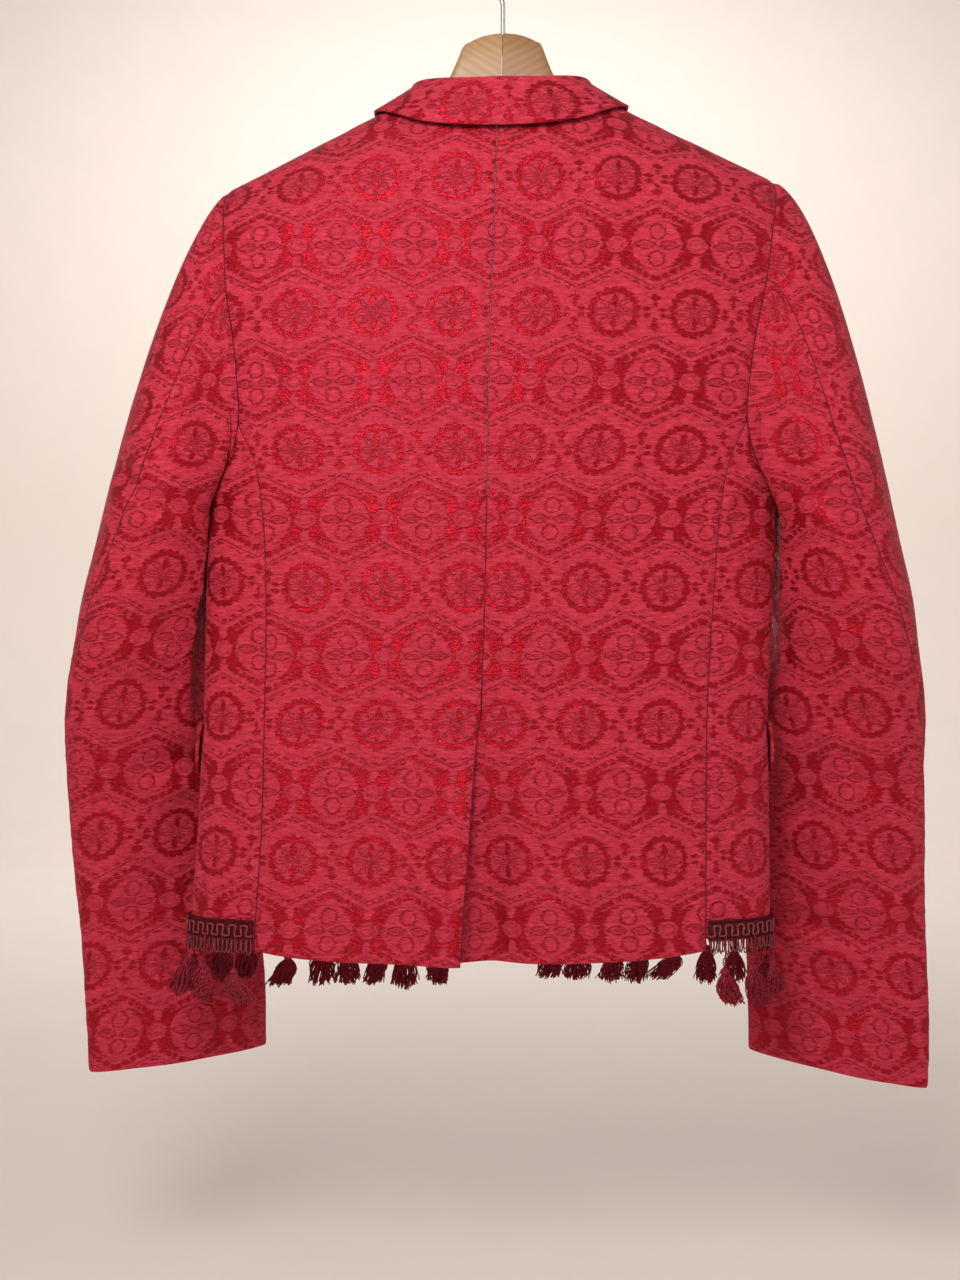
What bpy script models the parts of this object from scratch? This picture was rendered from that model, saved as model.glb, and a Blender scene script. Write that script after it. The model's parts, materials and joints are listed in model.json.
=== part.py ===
"""A short brocade blazer hanging on a wooden coat hanger.

Metres, +Z up. The origin is the inside top of the hanger's hook, where a rail
carries it. The jacket's front faces -Y and its back +Y, so the wearer's left is +X.

The jacket is worked out upright and even on both sides, with heights given as the
drop below the hook and places across given as the distance out from its middle.
One last step, settle(), then leans it and tips its shoulders as it really hangs.
"""

import math

import bpy
import numpy as np

# Cloth and seams
CLOTH = 0.002  # brocade with its backing, as one wall
COLLAR_CLOTH = 0.0024  # two layers with canvas between
COLLAR_FOLD = 0.0012  # room left inside the collar's fold
SEAM = 0.0003  # gap between two pieces that are sewn together
CLEAR = 0.0006  # gap between two layers that lie on each other
SQUARE = 2.5  # power of the body's rounded cross section, 2 is an ellipse
RIDGE = 0.060  # drop over which the shoulders round over the hanger

# How the jacket hangs: the drop, and how far its middle has swung to the left there
LEAN = (
    # drop,  left
    (0.000, 0.0000),
    (0.060, 0.0000),
    (0.100, 0.0010),
    (0.190, 0.0022),
    (0.250, 0.0048),
    (0.330, 0.0072),
    (0.410, 0.0085),
    (0.475, 0.0096),
    (0.571, 0.0128),
    (0.666, 0.0145),
    (0.713, 0.0163),
    (0.765, 0.0172),
    (0.860, 0.0175),
)
SHOULDER_TIP = 0.020  # drop per metre to the left, at the shoulders
TIP_FROM, TIP_TO = 0.250, 0.450  # drops between which that tip fades out

# The body's sections: half its width, and its depth behind and before the hanger
BODY = (
    # drop, half width, back, front
    (0.100, 0.2240, 0.0330, 0.0290),
    (0.150, 0.2250, 0.0375, 0.0370),
    (0.190, 0.2250, 0.0410, 0.0450),
    (0.250, 0.2220, 0.0455, 0.0550),
    (0.330, 0.2150, 0.0470, 0.0610),
    (0.410, 0.2085, 0.0440, 0.0630),
    (0.475, 0.2072, 0.0410, 0.0590),
    (0.520, 0.2064, 0.0400, 0.0550),
    (0.571, 0.2059, 0.0400, 0.0530),
    (0.612, 0.2074, 0.0410, 0.0530),
    (0.666, 0.2089, 0.0430, 0.0540),
    (0.713, 0.2109, 0.0450, 0.0550),
    (0.765, 0.2120, 0.0460, 0.0560),
)

# The line over the top of the shoulders
SHOULDER_LINE = (
    # out,   drop
    (0.000, 0.1080),
    (0.040, 0.1120),
    (0.070, 0.1210),
    (0.093, 0.1325),
    (0.131, 0.1515),
    (0.165, 0.1680),
    (0.204, 0.1868),
    (0.240, 0.2030),
)

# The armhole, from the shoulder down the back, under the arm and up the front.
# around is 0 at the centre back, 1 at the side and 2 at the centre front.
ARMHOLE = (
    # drop, around
    (0.1860, 0.653),  # shoulder
    (0.2000, 0.660),
    (0.2250, 0.647),
    (0.2620, 0.637),  # elbow seam joins
    (0.2940, 0.616),
    (0.3250, 0.607),
    (0.3600, 0.613),  # side back seam joins
    (0.3900, 0.692),
    (0.4100, 0.848),
    (0.4165, 1.000),  # underarm
    (0.4100, 1.162),
    (0.3900, 1.333),
    (0.3600, 1.430),  # side front seam joins
    (0.3250, 1.452),  # sleeve's front seam joins
    (0.2940, 1.444),
    (0.2620, 1.408),
    (0.2250, 1.367),
    (0.2000, 1.343),
    (0.1860, 1.347),  # shoulder again
)
ELBOW_NOTCH, BACK_JOIN, FRONT_JOIN, FRONT_NOTCH, ARM_ROUND = 3, 6, 12, 13, 18

ARM_MIDDLE = (0.2050, 0.0, 0.3000)  # a point inside the armhole: out, back, drop

# Rows of the armhole where its pieces have their points, closer over the shoulder
BACK_ARM_POINTS = (6, 5, 4, 3, 2.1, 1.4, 0.8, 0.4, 0.12, 0)
SIDE_ARM_POINTS = (6, 7, 8, 9, 10, 11, 12)
FRONT_ARM_POINTS = (12, 13, 14, 15, 15.9, 16.6, 17.2, 17.6, 17.88, 18)

# The long seams, as the distance out from the middle
SIDE_BACK_SEAM = (
    # drop, out
    (0.380, 0.1710),
    (0.400, 0.1660),
    (0.420, 0.1630),
    (0.475, 0.1597),
    (0.560, 0.1575),
    (0.650, 0.1580),
    (0.740, 0.1607),
)
SIDE_FRONT_SEAM = (
    (0.380, 0.1650),
    (0.400, 0.1615),
    (0.475, 0.1580),
    (0.600, 0.1570),
    (0.740, 0.1600),
)

# Drops of the points on those seams above the hem, and of the centre back's rows
SEAM_POINTS = (0.705, 0.665, 0.625, 0.585, 0.569, 0.545, 0.505, 0.465, 0.430, 0.405, 0.383)
CENTRE_POINTS = SEAM_POINTS[:9] + (
    0.395, 0.360, 0.330, 0.295, 0.260, 0.228, 0.200, 0.178, 0.162, 0.151, 0.1445, 0.1420
)

# Hems
BACK_HEM, BACK_HEM_SIDE = 0.7425, 0.7350
SIDE_HEM = 0.7270
FRONT_HEM = 0.7330
BACK_SEAM_OUT = 0.0035  # the centre back seam lies this far left of the middle

# Centre back vent: the left back laps over an underlap of the right back
VENT_TOP, VENT_SINK = 0.569, 0.540
VENT_SPREAD = 0.0100  # how far the left edge has swung open at the hem
UNDERLAP = 0.034

# Neck
NECK_POINT_OUT = 0.072
BACK_NECK = 0.1420

# Fronts: they lap at the one button and swing apart below it
BREAK_DROP = 0.478  # the lapel's roll line ends here
BUTTON_DROP, BUTTON_OUT = 0.500, -0.002
BUTTON_HALF, BUTTON_THICK = 0.0100, 0.0040
FRONT_EDGE = (
    # drop, how far the edge is from the middle, minus is past it
    (0.478, -0.0160),
    (0.530, -0.0150),
    (0.570, -0.0080),
    (0.610, 0.0030),
    (0.650, 0.0130),
    (0.693, 0.0220),
    (0.740, 0.0270),
)
FRONT_SHIFT = 0.012  # at the hem the opening has swung this far to the right
CORNER = 0.030  # radius of the rounded front corner

# Lapel, as seen from the front
GORGE = (0.0600, 0.1780)  # top of the roll line: out, drop
GORGE_SLOPE = math.radians(21.5)
LAPEL_ROLL = 0.0020  # how far the lapel lifts at its fold
LAPEL_FROM = {1: 0.26, -1: 0.0}  # share of the roll line where each lapel starts
LAPEL_WIDTH = (
    # share up the roll line, width across the lapel
    (0.00, 0.003),
    (0.15, 0.019),
    (0.40, 0.044),
    (0.70, 0.062),
    (0.90, 0.070),
    (1.00, 0.060),
)

# Collar, a row for each station from the centre back round to its front end
COLLAR = (
    # neck seam out, drop, fold out, fold back, drop, edge out, drop
    (0.0000, 0.1420, 0.0000, 0.0370, 0.1200, 0.0000, 0.1545),
    (0.0230, 0.1405, 0.0225, 0.0350, 0.1198, 0.0300, 0.1535),
    (0.0440, 0.1355, 0.0440, 0.0275, 0.1168, 0.0575, 0.1490),
    (0.0620, 0.1275, 0.0580, 0.0150, 0.1135, 0.0765, 0.1400),
    (0.0720, 0.1212, 0.0640, 0.0000, 0.1132, 0.0910, 0.1340),
    (0.0712, 0.1300, 0.0660, -0.0165, 0.1215, 0.0990, 0.1470),
    (0.0680, 0.1440, 0.0645, -0.0300, 0.1395, 0.1040, 0.1640),
    (0.0642, 0.1600, 0.0615, -0.0385, 0.1570, 0.1040, 0.1800),
    (0.0600, 0.1780, 0.0572, -0.0450, 0.1765, 0.1000, 0.1925),
)
COLLAR_SIDE_ROW = 4  # this station sits on the shoulder line
COLLAR_STATIONS = (0, 1, 2, 3, 3.45, 3.75, 3.9, 4, 4.08, 4.2, 4.5, 5, 6, 7, 8)
COLLAR_LIFT = 0.0021  # the fall's edge stands this far off the cloth below it

# Sleeves below the armhole. out is the middle of the section for each arm, long and
# short are half its two widths, and turn is the long one's angle back from straight out.
# elbow and front are where the two seams lie, in degrees round from straight out.
SLEEVE = (
    # drop, out left, out right, forward, long, short, turn, elbow left, elbow right, front
    (0.440, 0.2405, 0.2510, 0.006, 0.0600, 0.0437, 80.0, 65.0, 76.0, 232.0),
    (0.500, 0.2530, 0.2645, 0.012, 0.0575, 0.0420, 66.0, 48.0, 59.0, 225.0),
    (0.560, 0.2515, 0.2650, 0.026, 0.0640, 0.0345, 37.0, 26.0, 40.0, 215.0),
    (0.620, 0.2505, 0.2675, 0.042, 0.0655, 0.0300, 30.0, 15.0, 20.0, 208.0),
    (0.680, 0.2460, 0.2710, 0.053, 0.0665, 0.0265, 26.0, 11.0, 12.0, 205.0),
    (0.740, 0.2375, 0.2735, 0.060, 0.0685, 0.0225, 23.0, 8.0, 8.0, 204.0),
    (0.790, 0.2335, 0.2765, 0.062, 0.0690, 0.0190, 22.0, 6.0, 6.0, 203.0),
    (0.838, 0.2319, 0.2765, 0.062, 0.0680, 0.0165, 21.0, 5.0, 5.0, 202.0),
)
SLEEVE_RINGS = (0.440, 0.470, 0.500, 0.530, 0.560, 0.600, 0.640, 0.690, 0.740, 0.790, 0.838)
CAP_SHARES = (0.0, 0.05, 0.15, 0.32, 0.54, 0.78)  # rows from the armhole to the first ring
CAP_LEAVES = {1: 51.0, -1: 28.0}  # degrees below level that it leaves the shoulder at
CAP_LEAVES_LOW = 80.0  # the same at the underarm
CUFF_SLANT = {1: 0.06, -1: 0.13}  # how much lower the cuff's outer edge hangs, per metre across
CUFF_LOW = {1: 0.0, -1: 0.008}  # how much lower the whole cuff hangs
SLEEVE_CLEAR_TOP, SLEEVE_CLEAR_LOW = 0.0035, 0.0110
SLEEVE_BULGE = 0.0085  # how far its inner face swells towards the body below the armhole

# Pocket flaps
FLAP_TOP, FLAP_BOTTOM = 0.574, 0.613
FLAP_REAR, FLAP_FRONT = 0.87, 1.45  # around
FLAP_SLANT = 2.0  # how far the rear edge runs forward, around per metre down

# Hem trim: a braid with a short fringe skirt, and tassels on cords
BRAID_TOP, BRAID_BOTTOM, SKIRT_BOTTOM = -0.0135, 0.0010, 0.0130  # below the cloth's edge
BRAID_THICK, SKIRT_THICK = 0.0022, 0.0016
TASSEL_PITCH = 0.023
CORD = 0.0018
CORD_LONG, HEAD_LONG = 0.0085, 0.0050
TASSEL_LONG = 0.0290
HEAD_HALF, HEAD_DEEP = 0.0055, 0.0042
LOCKS_WIDE, LOCKS_DEEP = 4, 2

# Hanger, each half from the glued joint out to the tip
HANGER = (
    # out, top drop, bottom drop, half thickness
    (0.0000, 0.0720, 0.1280, 0.0085),
    (0.0150, 0.0745, 0.1290, 0.0085),
    (0.0240, 0.0785, 0.1300, 0.0085),
    (0.0285, 0.0815, 0.1310, 0.0085),
    (0.0320, 0.0900, 0.1318, 0.0085),
    (0.0370, 0.1020, 0.1335, 0.0085),
    (0.0460, 0.1140, 0.1365, 0.0082),
    (0.0600, 0.1232, 0.1420, 0.0080),
    (0.0750, 0.1285, 0.1490, 0.0078),
    (0.0930, 0.1359, 0.1580, 0.0075),
    (0.1310, 0.1549, 0.1790, 0.0070),
    (0.1650, 0.1715, 0.1970, 0.0065),
    (0.1880, 0.1828, 0.2085, 0.0060),
    (0.1980, 0.1900, 0.2080, 0.0042),
)
HANGER_SQUARE = 3.4
WIRE = 0.0017  # half the hook wire's thickness
HOOK_INSIDE = 0.0185  # radius inside the hook
HOLE = 0.0021  # radius of the hole in the wood for the hook's stem
HOOK_PATH = (
    # left, drop
    (0.0000, 0.0870),
    (0.0000, 0.0700),
    (0.0000, 0.0560),
    (0.0000, 0.0500),
    (0.0016, 0.0452),
    (0.0060, 0.0406),
    (0.0112, 0.0361),
)


# Curves through short tables


def through(table, column, at):
    """A smooth curve through one column of a table, read at places given in its first column.
    Each stretch is a cubic whose end slopes come from the rows on both sides."""
    rows = np.asarray(table, float)
    places, values = rows[:, 0], rows[:, column]
    at = np.clip(at, places[0], places[-1])
    slopes = np.gradient(values, places)
    i = np.clip(np.searchsorted(places, at, side="right") - 1, 0, len(places) - 2)
    step = places[i + 1] - places[i]
    t = (at - places[i]) / step
    return (
        values[i] * (1 + 2 * t) * (1 - t) ** 2
        + values[i + 1] * t * t * (3 - 2 * t)
        + step * (slopes[i] * t * (1 - t) ** 2 + slopes[i + 1] * t * t * (t - 1))
    )


def numbered(rows):
    """A table with its row numbers put in front, so that through() can read it by row."""
    return [(i, *row) for i, row in enumerate(rows)]


def smooth(low, high, at):
    """0 below low, 1 above high, and an even S between them."""
    t = np.clip((at - low) / (high - low), 0.0, 1.0)
    return t * t * (3 - 2 * t)


def evenly(points, count):
    """count points spaced evenly along a line of points."""
    points = np.asarray(points, float)
    along = np.concatenate([[0], np.cumsum(np.linalg.norm(np.diff(points, axis=0), axis=1))])
    at = np.linspace(0, along[-1], count)
    return np.stack([np.interp(at, along, points[:, k]) for k in range(points.shape[1])], axis=1)


# The body's surface


def shoulder_drop(out):
    """Height of the shoulder line at a distance out."""
    return through(SHOULDER_LINE, 1, np.abs(out))


def out_at(around, drop):
    """Distance out of a place on the body, along the rounded section at that drop."""
    turn = np.radians(90.0) * np.asarray(around, float)
    s = np.sin(turn)
    return through(BODY, 1, drop) * np.sign(s) * np.abs(s) ** (2 / SQUARE)


def around_at(out, drop, front=False):
    """The inverse of out_at, on the back half of the section or on its front half."""
    share = np.clip(np.asarray(out, float) / through(BODY, 1, drop), -1, 1)
    turn = np.degrees(np.arcsin(np.abs(share) ** (SQUARE / 2))) / 90.0 * np.sign(share)
    return np.where(front, 2 - turn, turn)


def body(around, drop):
    """Outer face of the body, before it is mirrored and settled: (out, back, drop).
    The section is a superellipse, deeper or flatter behind and before the hanger. Near the
    shoulder line its depth closes as a quarter ellipse, so back and front meet on top."""
    around, drop = np.broadcast_arrays(np.asarray(around, float), np.asarray(drop, float))
    out = out_at(around, drop)
    c = np.cos(np.radians(90.0) * around)
    depth = np.where(c >= 0, through(BODY, 2, drop), through(BODY, 3, drop))
    below = np.clip(1 - (drop - shoulder_drop(out)) / RIDGE, 0.0, 1.0)
    back = depth * np.sign(c) * np.abs(c) ** (2 / SQUARE) * np.sqrt(1 - below**2)
    return np.stack([out, back, drop], axis=-1)


def body_level(out, back, drop):
    """0 on the body's outer face and more outside it:
    (back / depth)^2 - (1 - |out / width|^p)^(2/p) (1 - below^2)."""
    depth = np.where(back >= 0, through(BODY, 2, drop), through(BODY, 3, drop))
    left_over = 1 - np.abs(out / through(BODY, 1, drop)) ** SQUARE
    below = np.maximum(1 - (drop - shoulder_drop(out)) / RIDGE, 0.0)
    round_off = np.sign(left_over) * np.abs(left_over) ** (2 / SQUARE)
    return (back / depth) ** 2 - round_off * (1 - below**2)


def steepest(points, step=1e-5):
    """The way that body_level rises fastest at some points, not scaled to a unit."""
    at = np.moveaxis(points, -1, 0)
    way = []
    for k in range(3):
        more, less = [*at], [*at]
        more[k], less[k] = at[k] + step, at[k] - step
        way.append((body_level(*more) - body_level(*less)) / (2 * step))
    return np.stack(way, axis=-1)


def outward(around, drop):
    """Unit normal of the body's outer face."""
    n = steepest(body(around, drop))
    return n / np.linalg.norm(n, axis=-1, keepdims=True)


def off_body(points, least):
    """Points moved off the body to at least this far out of it."""
    way = steepest(points)
    size = np.linalg.norm(way, axis=-1)
    distance = body_level(*np.moveaxis(points, -1, 0)) / size
    return points + way / size[..., None] * np.maximum(least - distance, 0)[..., None]


def armhole(rows):
    """Points of the armhole at row numbers of its table, which may run past either end."""
    rows = np.mod(np.asarray(rows, float), ARM_ROUND)
    table = numbered(ARMHOLE)
    return np.stack([through(table, 2, rows), through(table, 1, rows)], axis=-1)


def settle(points, side):
    """From the upright jacket to how it hangs, in the part's frame: mirrored to its side,
    shifted left by the lean at each drop, and tipped at the shoulders."""
    out, back, drop = np.moveaxis(np.asarray(points, float), -1, 0)
    x = side * out + through(LEAN, 1, drop)
    tip = SHOULDER_TIP * side * out * (1 - smooth(TIP_FROM, TIP_TO, drop))
    return np.stack([x, back, -(drop + tip)], axis=-1)


# Meshes


def make_object(name, points, faces, material, sharp=40.0):
    mesh = bpy.data.meshes.new(name)
    mesh.from_pydata([tuple(p) for p in points], [], [tuple(f) for f in faces])
    mesh.update()
    if material:
        mesh.materials.append(material)
    mesh.shade_smooth()
    mesh.set_sharp_from_angle(angle=math.radians(sharp))
    made = bpy.data.objects.new(name, mesh)
    bpy.context.scene.collection.objects.link(made)
    return made


def signed_volume(points, faces):
    """Volume inside the faces, minus where they point inwards."""
    total = 0.0
    for face in faces:
        for i in range(1, len(face) - 1):
            a, b, c = points[face[0]], points[face[i]], points[face[i + 1]]
            total += np.dot(a, np.cross(b, c)) / 6
    return total


def facing_out(points, faces):
    points = np.asarray(points, float)
    middle = points.mean(0)
    if signed_volume(points - middle, faces) < 0:
        return [tuple(reversed(face)) for face in faces]
    return faces


def wall_faces(rows, columns):
    """Faces of a closed wall whose two skins are grids: the outer one first, then the inner."""
    start = rows * columns

    def at(r, c, skin):
        return skin * start + r * columns + c

    faces = []
    for r in range(rows - 1):
        for c in range(columns - 1):
            faces.append((at(r, c, 0), at(r, c + 1, 0), at(r + 1, c + 1, 0), at(r + 1, c, 0)))
            faces.append((at(r, c, 1), at(r + 1, c, 1), at(r + 1, c + 1, 1), at(r, c + 1, 1)))
    for c in range(columns - 1):
        for r in (0, rows - 1):
            rim = (at(r, c, 0), at(r, c, 1), at(r, c + 1, 1), at(r, c + 1, 0))
            faces.append(rim if r == 0 else rim[::-1])
    for r in range(rows - 1):
        for c in (0, columns - 1):
            rim = (at(r, c, 0), at(r + 1, c, 0), at(r + 1, c, 1), at(r, c, 1))
            faces.append(rim if c == 0 else rim[::-1])
    return faces


def grid_normals(grid):
    """Normals of a grid of points, from the slopes along its rows and columns."""
    down = np.gradient(grid, axis=0, edge_order=2)
    across = np.gradient(grid, axis=1, edge_order=2)
    n = np.cross(across, down)
    return n / np.linalg.norm(n, axis=-1, keepdims=True)


def pulled_in(grid, edges, by=SEAM / 2):
    """The grid with the named edges drawn in along the cloth, to leave a seam's gap."""
    grid = grid.copy()
    for edge in edges:
        rim, inner = {
            "first row": (np.s_[0, :], np.s_[1, :]),
            "last row": (np.s_[-1, :], np.s_[-2, :]),
            "first column": (np.s_[:, 0], np.s_[:, 1]),
            "last column": (np.s_[:, -1], np.s_[:, -2]),
        }[edge]
        way = grid[inner] - grid[rim]
        grid[rim] = grid[rim] + way / np.linalg.norm(way, axis=-1, keepdims=True) * by
    return grid


def wall(name, outer, inner, side, material, sharp=40.0):
    """A closed wall between two skins of the upright jacket, settled into place."""
    skins = np.concatenate([outer.reshape(-1, 3), inner.reshape(-1, 3)])
    points = settle(skins, side)
    faces = facing_out(points, wall_faces(*outer.shape[:2]))
    return make_object(name, points, faces, material, sharp)


def filled(bottom, top, inner, outer, down, across):
    """A panel between four edges. The edges are arrays of (around, drop) along shares of
    their length, and the panel blends them: each pair is mixed linearly, and the part that
    both pairs count, the mix of the four corners, is taken off once."""
    v, u = down[:, None, None], across[None, :, None]
    corners = (
        (1 - v) * ((1 - u) * bottom[0] + u * bottom[-1]) + v * ((1 - u) * top[0] + u * top[-1])
    )
    return (
        (1 - v) * bottom[None] + v * top[None]
        + (1 - u) * inner[:, None] + u * outer[:, None]
        - corners
    )


def resampled(line, shares):
    """A line of (around, drop) read at shares of its length over the body."""
    line = np.asarray(line, float)
    points = body(line[:, 0], line[:, 1])
    steps = np.linalg.norm(np.diff(points, axis=0), axis=1)
    along = np.concatenate([[0], np.cumsum(steps)])
    at = np.asarray(shares) * along[-1]
    return np.stack([np.interp(at, along, line[:, k]) for k in (0, 1)], axis=1)


def long_seam(table, join, hem, front):
    """The side panel's seam with the back or the front, from the hem up to the armhole."""
    drops = np.array((hem, *SEAM_POINTS))
    low = np.stack([around_at(through(table, 1, drops), drops, front), drops], axis=1)
    return np.concatenate([low, armhole([join])])


def shoulder_edge(front):
    """From the neck point along the shoulder line to the armhole."""
    end = armhole([0])[0]
    outs = np.linspace(NECK_POINT_OUT, out_at(end[0], end[1]), 12)
    drops = shoulder_drop(outs)
    line = np.stack([around_at(outs, drops, front), drops], axis=1)
    line[-1] = armhole([ARM_ROUND - 1e-9])[0] if front else end
    return line


def shares_of(line):
    """How far along the line each of its points is, from 0 to 1, measured over the body."""
    steps = np.linalg.norm(np.diff(body(line[:, 0], line[:, 1]), axis=0), axis=1)
    along = np.concatenate([[0], np.cumsum(steps)])
    return along / along[-1]


# Panels of the body. Each returns its outer face and the unit normals there.


def vent_edge(side, drops):
    """How far the centre edge of a back lies out from the seam, below the vent's top."""
    below = np.clip((drops - VENT_TOP) / (BACK_HEM - VENT_TOP), 0, 1)
    return VENT_SPREAD * below**0.6 if side > 0 else 0 * below


def vent_sunk(out, drops):
    """How deep the right back sinks, so that its underlap passes behind the left back."""
    return (CLOTH + CLEAR) * smooth(0.030, 0.008, out) * smooth(VENT_SINK, VENT_TOP - 0.001, drops)


def back_panel(side):
    """A back panel. The first two columns lie close to the seam, and on the right back they
    move past it below the vent's top, to make the underlap."""
    seam_out = BACK_SEAM_OUT * side
    drops = np.array((BACK_HEM, *CENTRE_POINTS))
    down = (BACK_HEM - drops) / (BACK_HEM - BACK_NECK)
    across = np.concatenate([[0, 0.010, 0.022], np.linspace(0.1, 1, 10)])
    inner = np.stack([around_at(seam_out + vent_edge(side, drops), drops), drops], axis=1)
    seam = long_seam(SIDE_BACK_SEAM, BACK_JOIN, BACK_HEM_SIDE, front=False)
    outer = np.concatenate([seam, armhole(BACK_ARM_POINTS[1:])])
    outs = np.linspace(seam_out, NECK_POINT_OUT, 12)
    rise = (BACK_NECK - shoulder_drop(NECK_POINT_OUT)) * (np.abs(outs) / NECK_POINT_OUT) ** 2.2
    neck = np.stack([around_at(outs, BACK_NECK - rise), BACK_NECK - rise], axis=1)
    on_neck = 0.3
    neck_part = across < on_neck + 1e-6
    top = np.concatenate([
        resampled(neck, across[neck_part] / on_neck),
        resampled(shoulder_edge(False), (across[~neck_part] - on_neck) / (1 - on_neck)),
    ])
    bottom = np.stack([
        inner[0, 0] + (outer[0, 0] - inner[0, 0]) * across,
        BACK_HEM + (BACK_HEM_SIDE - BACK_HEM) * across**2.5,
    ], axis=1)
    flat = filled(bottom, top, inner, outer, down, across)
    if side < 0:
        low = drops > VENT_TOP
        for c, share in ((0, 1.0), (1, 0.5)):
            out = out_at(flat[low, c, 0], flat[low, c, 1]) - UNDERLAP * share
            flat[low, c, 0] = around_at(out, flat[low, c, 1])
    grid, normals = body(flat[..., 0], flat[..., 1]), outward(flat[..., 0], flat[..., 1])
    if side < 0:
        grid = grid - normals * vent_sunk(grid[..., 0] - seam_out, grid[..., 2])[..., None]
    return grid, normals


def side_panel():
    back = long_seam(SIDE_BACK_SEAM, BACK_JOIN, SIDE_HEM, front=False)
    front = long_seam(SIDE_FRONT_SEAM, FRONT_JOIN, SIDE_HEM, front=True)
    top = armhole(SIDE_ARM_POINTS)
    across, down = shares_of(top), shares_of(back)
    bottom = np.stack([
        back[0, 0] + (front[0, 0] - back[0, 0]) * across,
        np.full(len(across), SIDE_HEM),
    ], axis=1)
    flat = filled(bottom, top, back, front, down, across)
    return body(flat[..., 0], flat[..., 1]), outward(flat[..., 0], flat[..., 1])


def front_edge_out(side, drops):
    """Distance of a front's edge from the middle, below the lapel."""
    swing = FRONT_SHIFT * smooth(BREAK_DROP, FRONT_HEM, drops)
    return through(FRONT_EDGE, 1, drops) - side * swing


def roll_at(side, t):
    """The line that the lapel turns over on, from the break up to the gorge: (out, drop)."""
    start = front_edge_out(side, BREAK_DROP)
    return np.stack([start + (GORGE[0] - start) * t, BREAK_DROP + (GORGE[1] - BREAK_DROP) * t], -1)


def corner_arc(side, start, end):
    """Part of the front's rounded corner, between two angles in degrees: (out, drop)."""
    edge = front_edge_out(side, FRONT_HEM - CORNER)
    turn = np.radians(np.linspace(start, end, 8))
    return np.stack([
        edge + CORNER * (1 - np.sin(turn)),
        FRONT_HEM - CORNER * (1 - np.cos(turn)),
    ], axis=1)


def on_front(line):
    """(out, drop) on the front half as (around, drop)."""
    return np.stack([around_at(line[:, 0], line[:, 1], True), line[:, 1]], axis=1)


def front_hem_line(side):
    """The front's hem, from the middle of its rounded corner to the side front seam."""
    arc = corner_arc(side, 45, 0)
    outs = np.linspace(arc[-1, 0], through(SIDE_FRONT_SEAM, 1, FRONT_HEM), 20)[1:]
    return np.concatenate([arc, np.stack([outs, np.full(19, FRONT_HEM)], axis=1)])


def front_inner_line(side):
    """The front's free edge, from the middle of its rounded corner up to the neck point."""
    drops = np.linspace(FRONT_HEM - CORNER, BREAK_DROP, 24)[1:]
    return np.concatenate([
        corner_arc(side, 45, 90),
        np.stack([front_edge_out(side, drops), drops], axis=1),
        roll_at(side, np.linspace(0, 1, 20)[1:]),
        [(row[0], row[1]) for row in COLLAR[-2:COLLAR_SIDE_ROW:-1]],
        [(NECK_POINT_OUT, shoulder_drop(NECK_POINT_OUT))],
    ])


def front_sunk(out, drops):
    """How deep the left front sinks, so that its edge passes behind the right front."""
    lapped = smooth(0.375, 0.400, drops) * (1 - smooth(0.612, 0.655, drops))
    return (CLOTH + CLEAR) * smooth(0.044, 0.016, out) * lapped


def front_panel(side, columns=11):
    across = np.linspace(0, 1, columns)
    seam = long_seam(SIDE_FRONT_SEAM, FRONT_JOIN, FRONT_HEM, front=True)
    outer = np.concatenate([seam, armhole(np.array(FRONT_ARM_POINTS[1:]) - 1e-9)])
    down = shares_of(outer)
    inner = resampled(on_front(front_inner_line(side)), down)
    top = resampled(shoulder_edge(True), across)
    bottom = resampled(on_front(front_hem_line(side)), across)
    flat = filled(bottom, top, inner, outer, down, across)
    grid, normals = body(flat[..., 0], flat[..., 1]), outward(flat[..., 0], flat[..., 1])
    if side > 0:
        grid = grid - normals * front_sunk(grid[..., 0], grid[..., 2])[..., None]
    return grid, normals


def panel(name, made, side, material, edges, half=0):
    """A body panel's wall. half is +1 behind the shoulder line and -1 before it, and keeps
    the two walls from crossing there."""
    grid, normals = made
    grid = pulled_in(grid, edges)
    inner = grid - normals * CLOTH
    if half:
        for skin in (grid, inner):
            skin[..., 1] = half * np.maximum(half * skin[..., 1], SEAM / 2)
    return wall(name, grid, inner, side, material)


# Sleeves


def sleeve_ring(side, drop, share, upper):
    """Section of the sleeve below the armhole, at shares from seam to seam. It is an
    ellipse turned from straight out by turn degrees."""
    drop, share = np.broadcast_arrays(np.asarray(drop, float), np.asarray(share, float))
    out = through(SLEEVE, 1 if side > 0 else 2, drop)
    forward, long, short, turn = (through(SLEEVE, k, drop) for k in range(3, 7))
    elbow, front = through(SLEEVE, 7 if side > 0 else 8, drop), through(SLEEVE, 9, drop)
    start, end = (front, elbow + 360) if upper else (elbow, front)
    angle = np.radians(start + (end - start) * share - turn)
    turn = np.radians(turn)
    cos, sin = long * np.cos(angle), short * np.sin(angle)
    x = out + cos * np.cos(turn) - sin * np.sin(turn)
    y = -forward + cos * np.sin(turn) + sin * np.cos(turn)
    swell = SLEEVE_BULGE * smooth(0.440, 0.480, drop) * (1 - smooth(0.560, 0.640, drop))
    x = x - swell * np.clip((out - x) / short, 0, 1) ** 2
    slant = (CUFF_LOW[side] + CUFF_SLANT[side] * (x - out)) * smooth(0.70, 0.838, drop)
    return np.stack([x, y, drop + slant], axis=-1)


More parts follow.
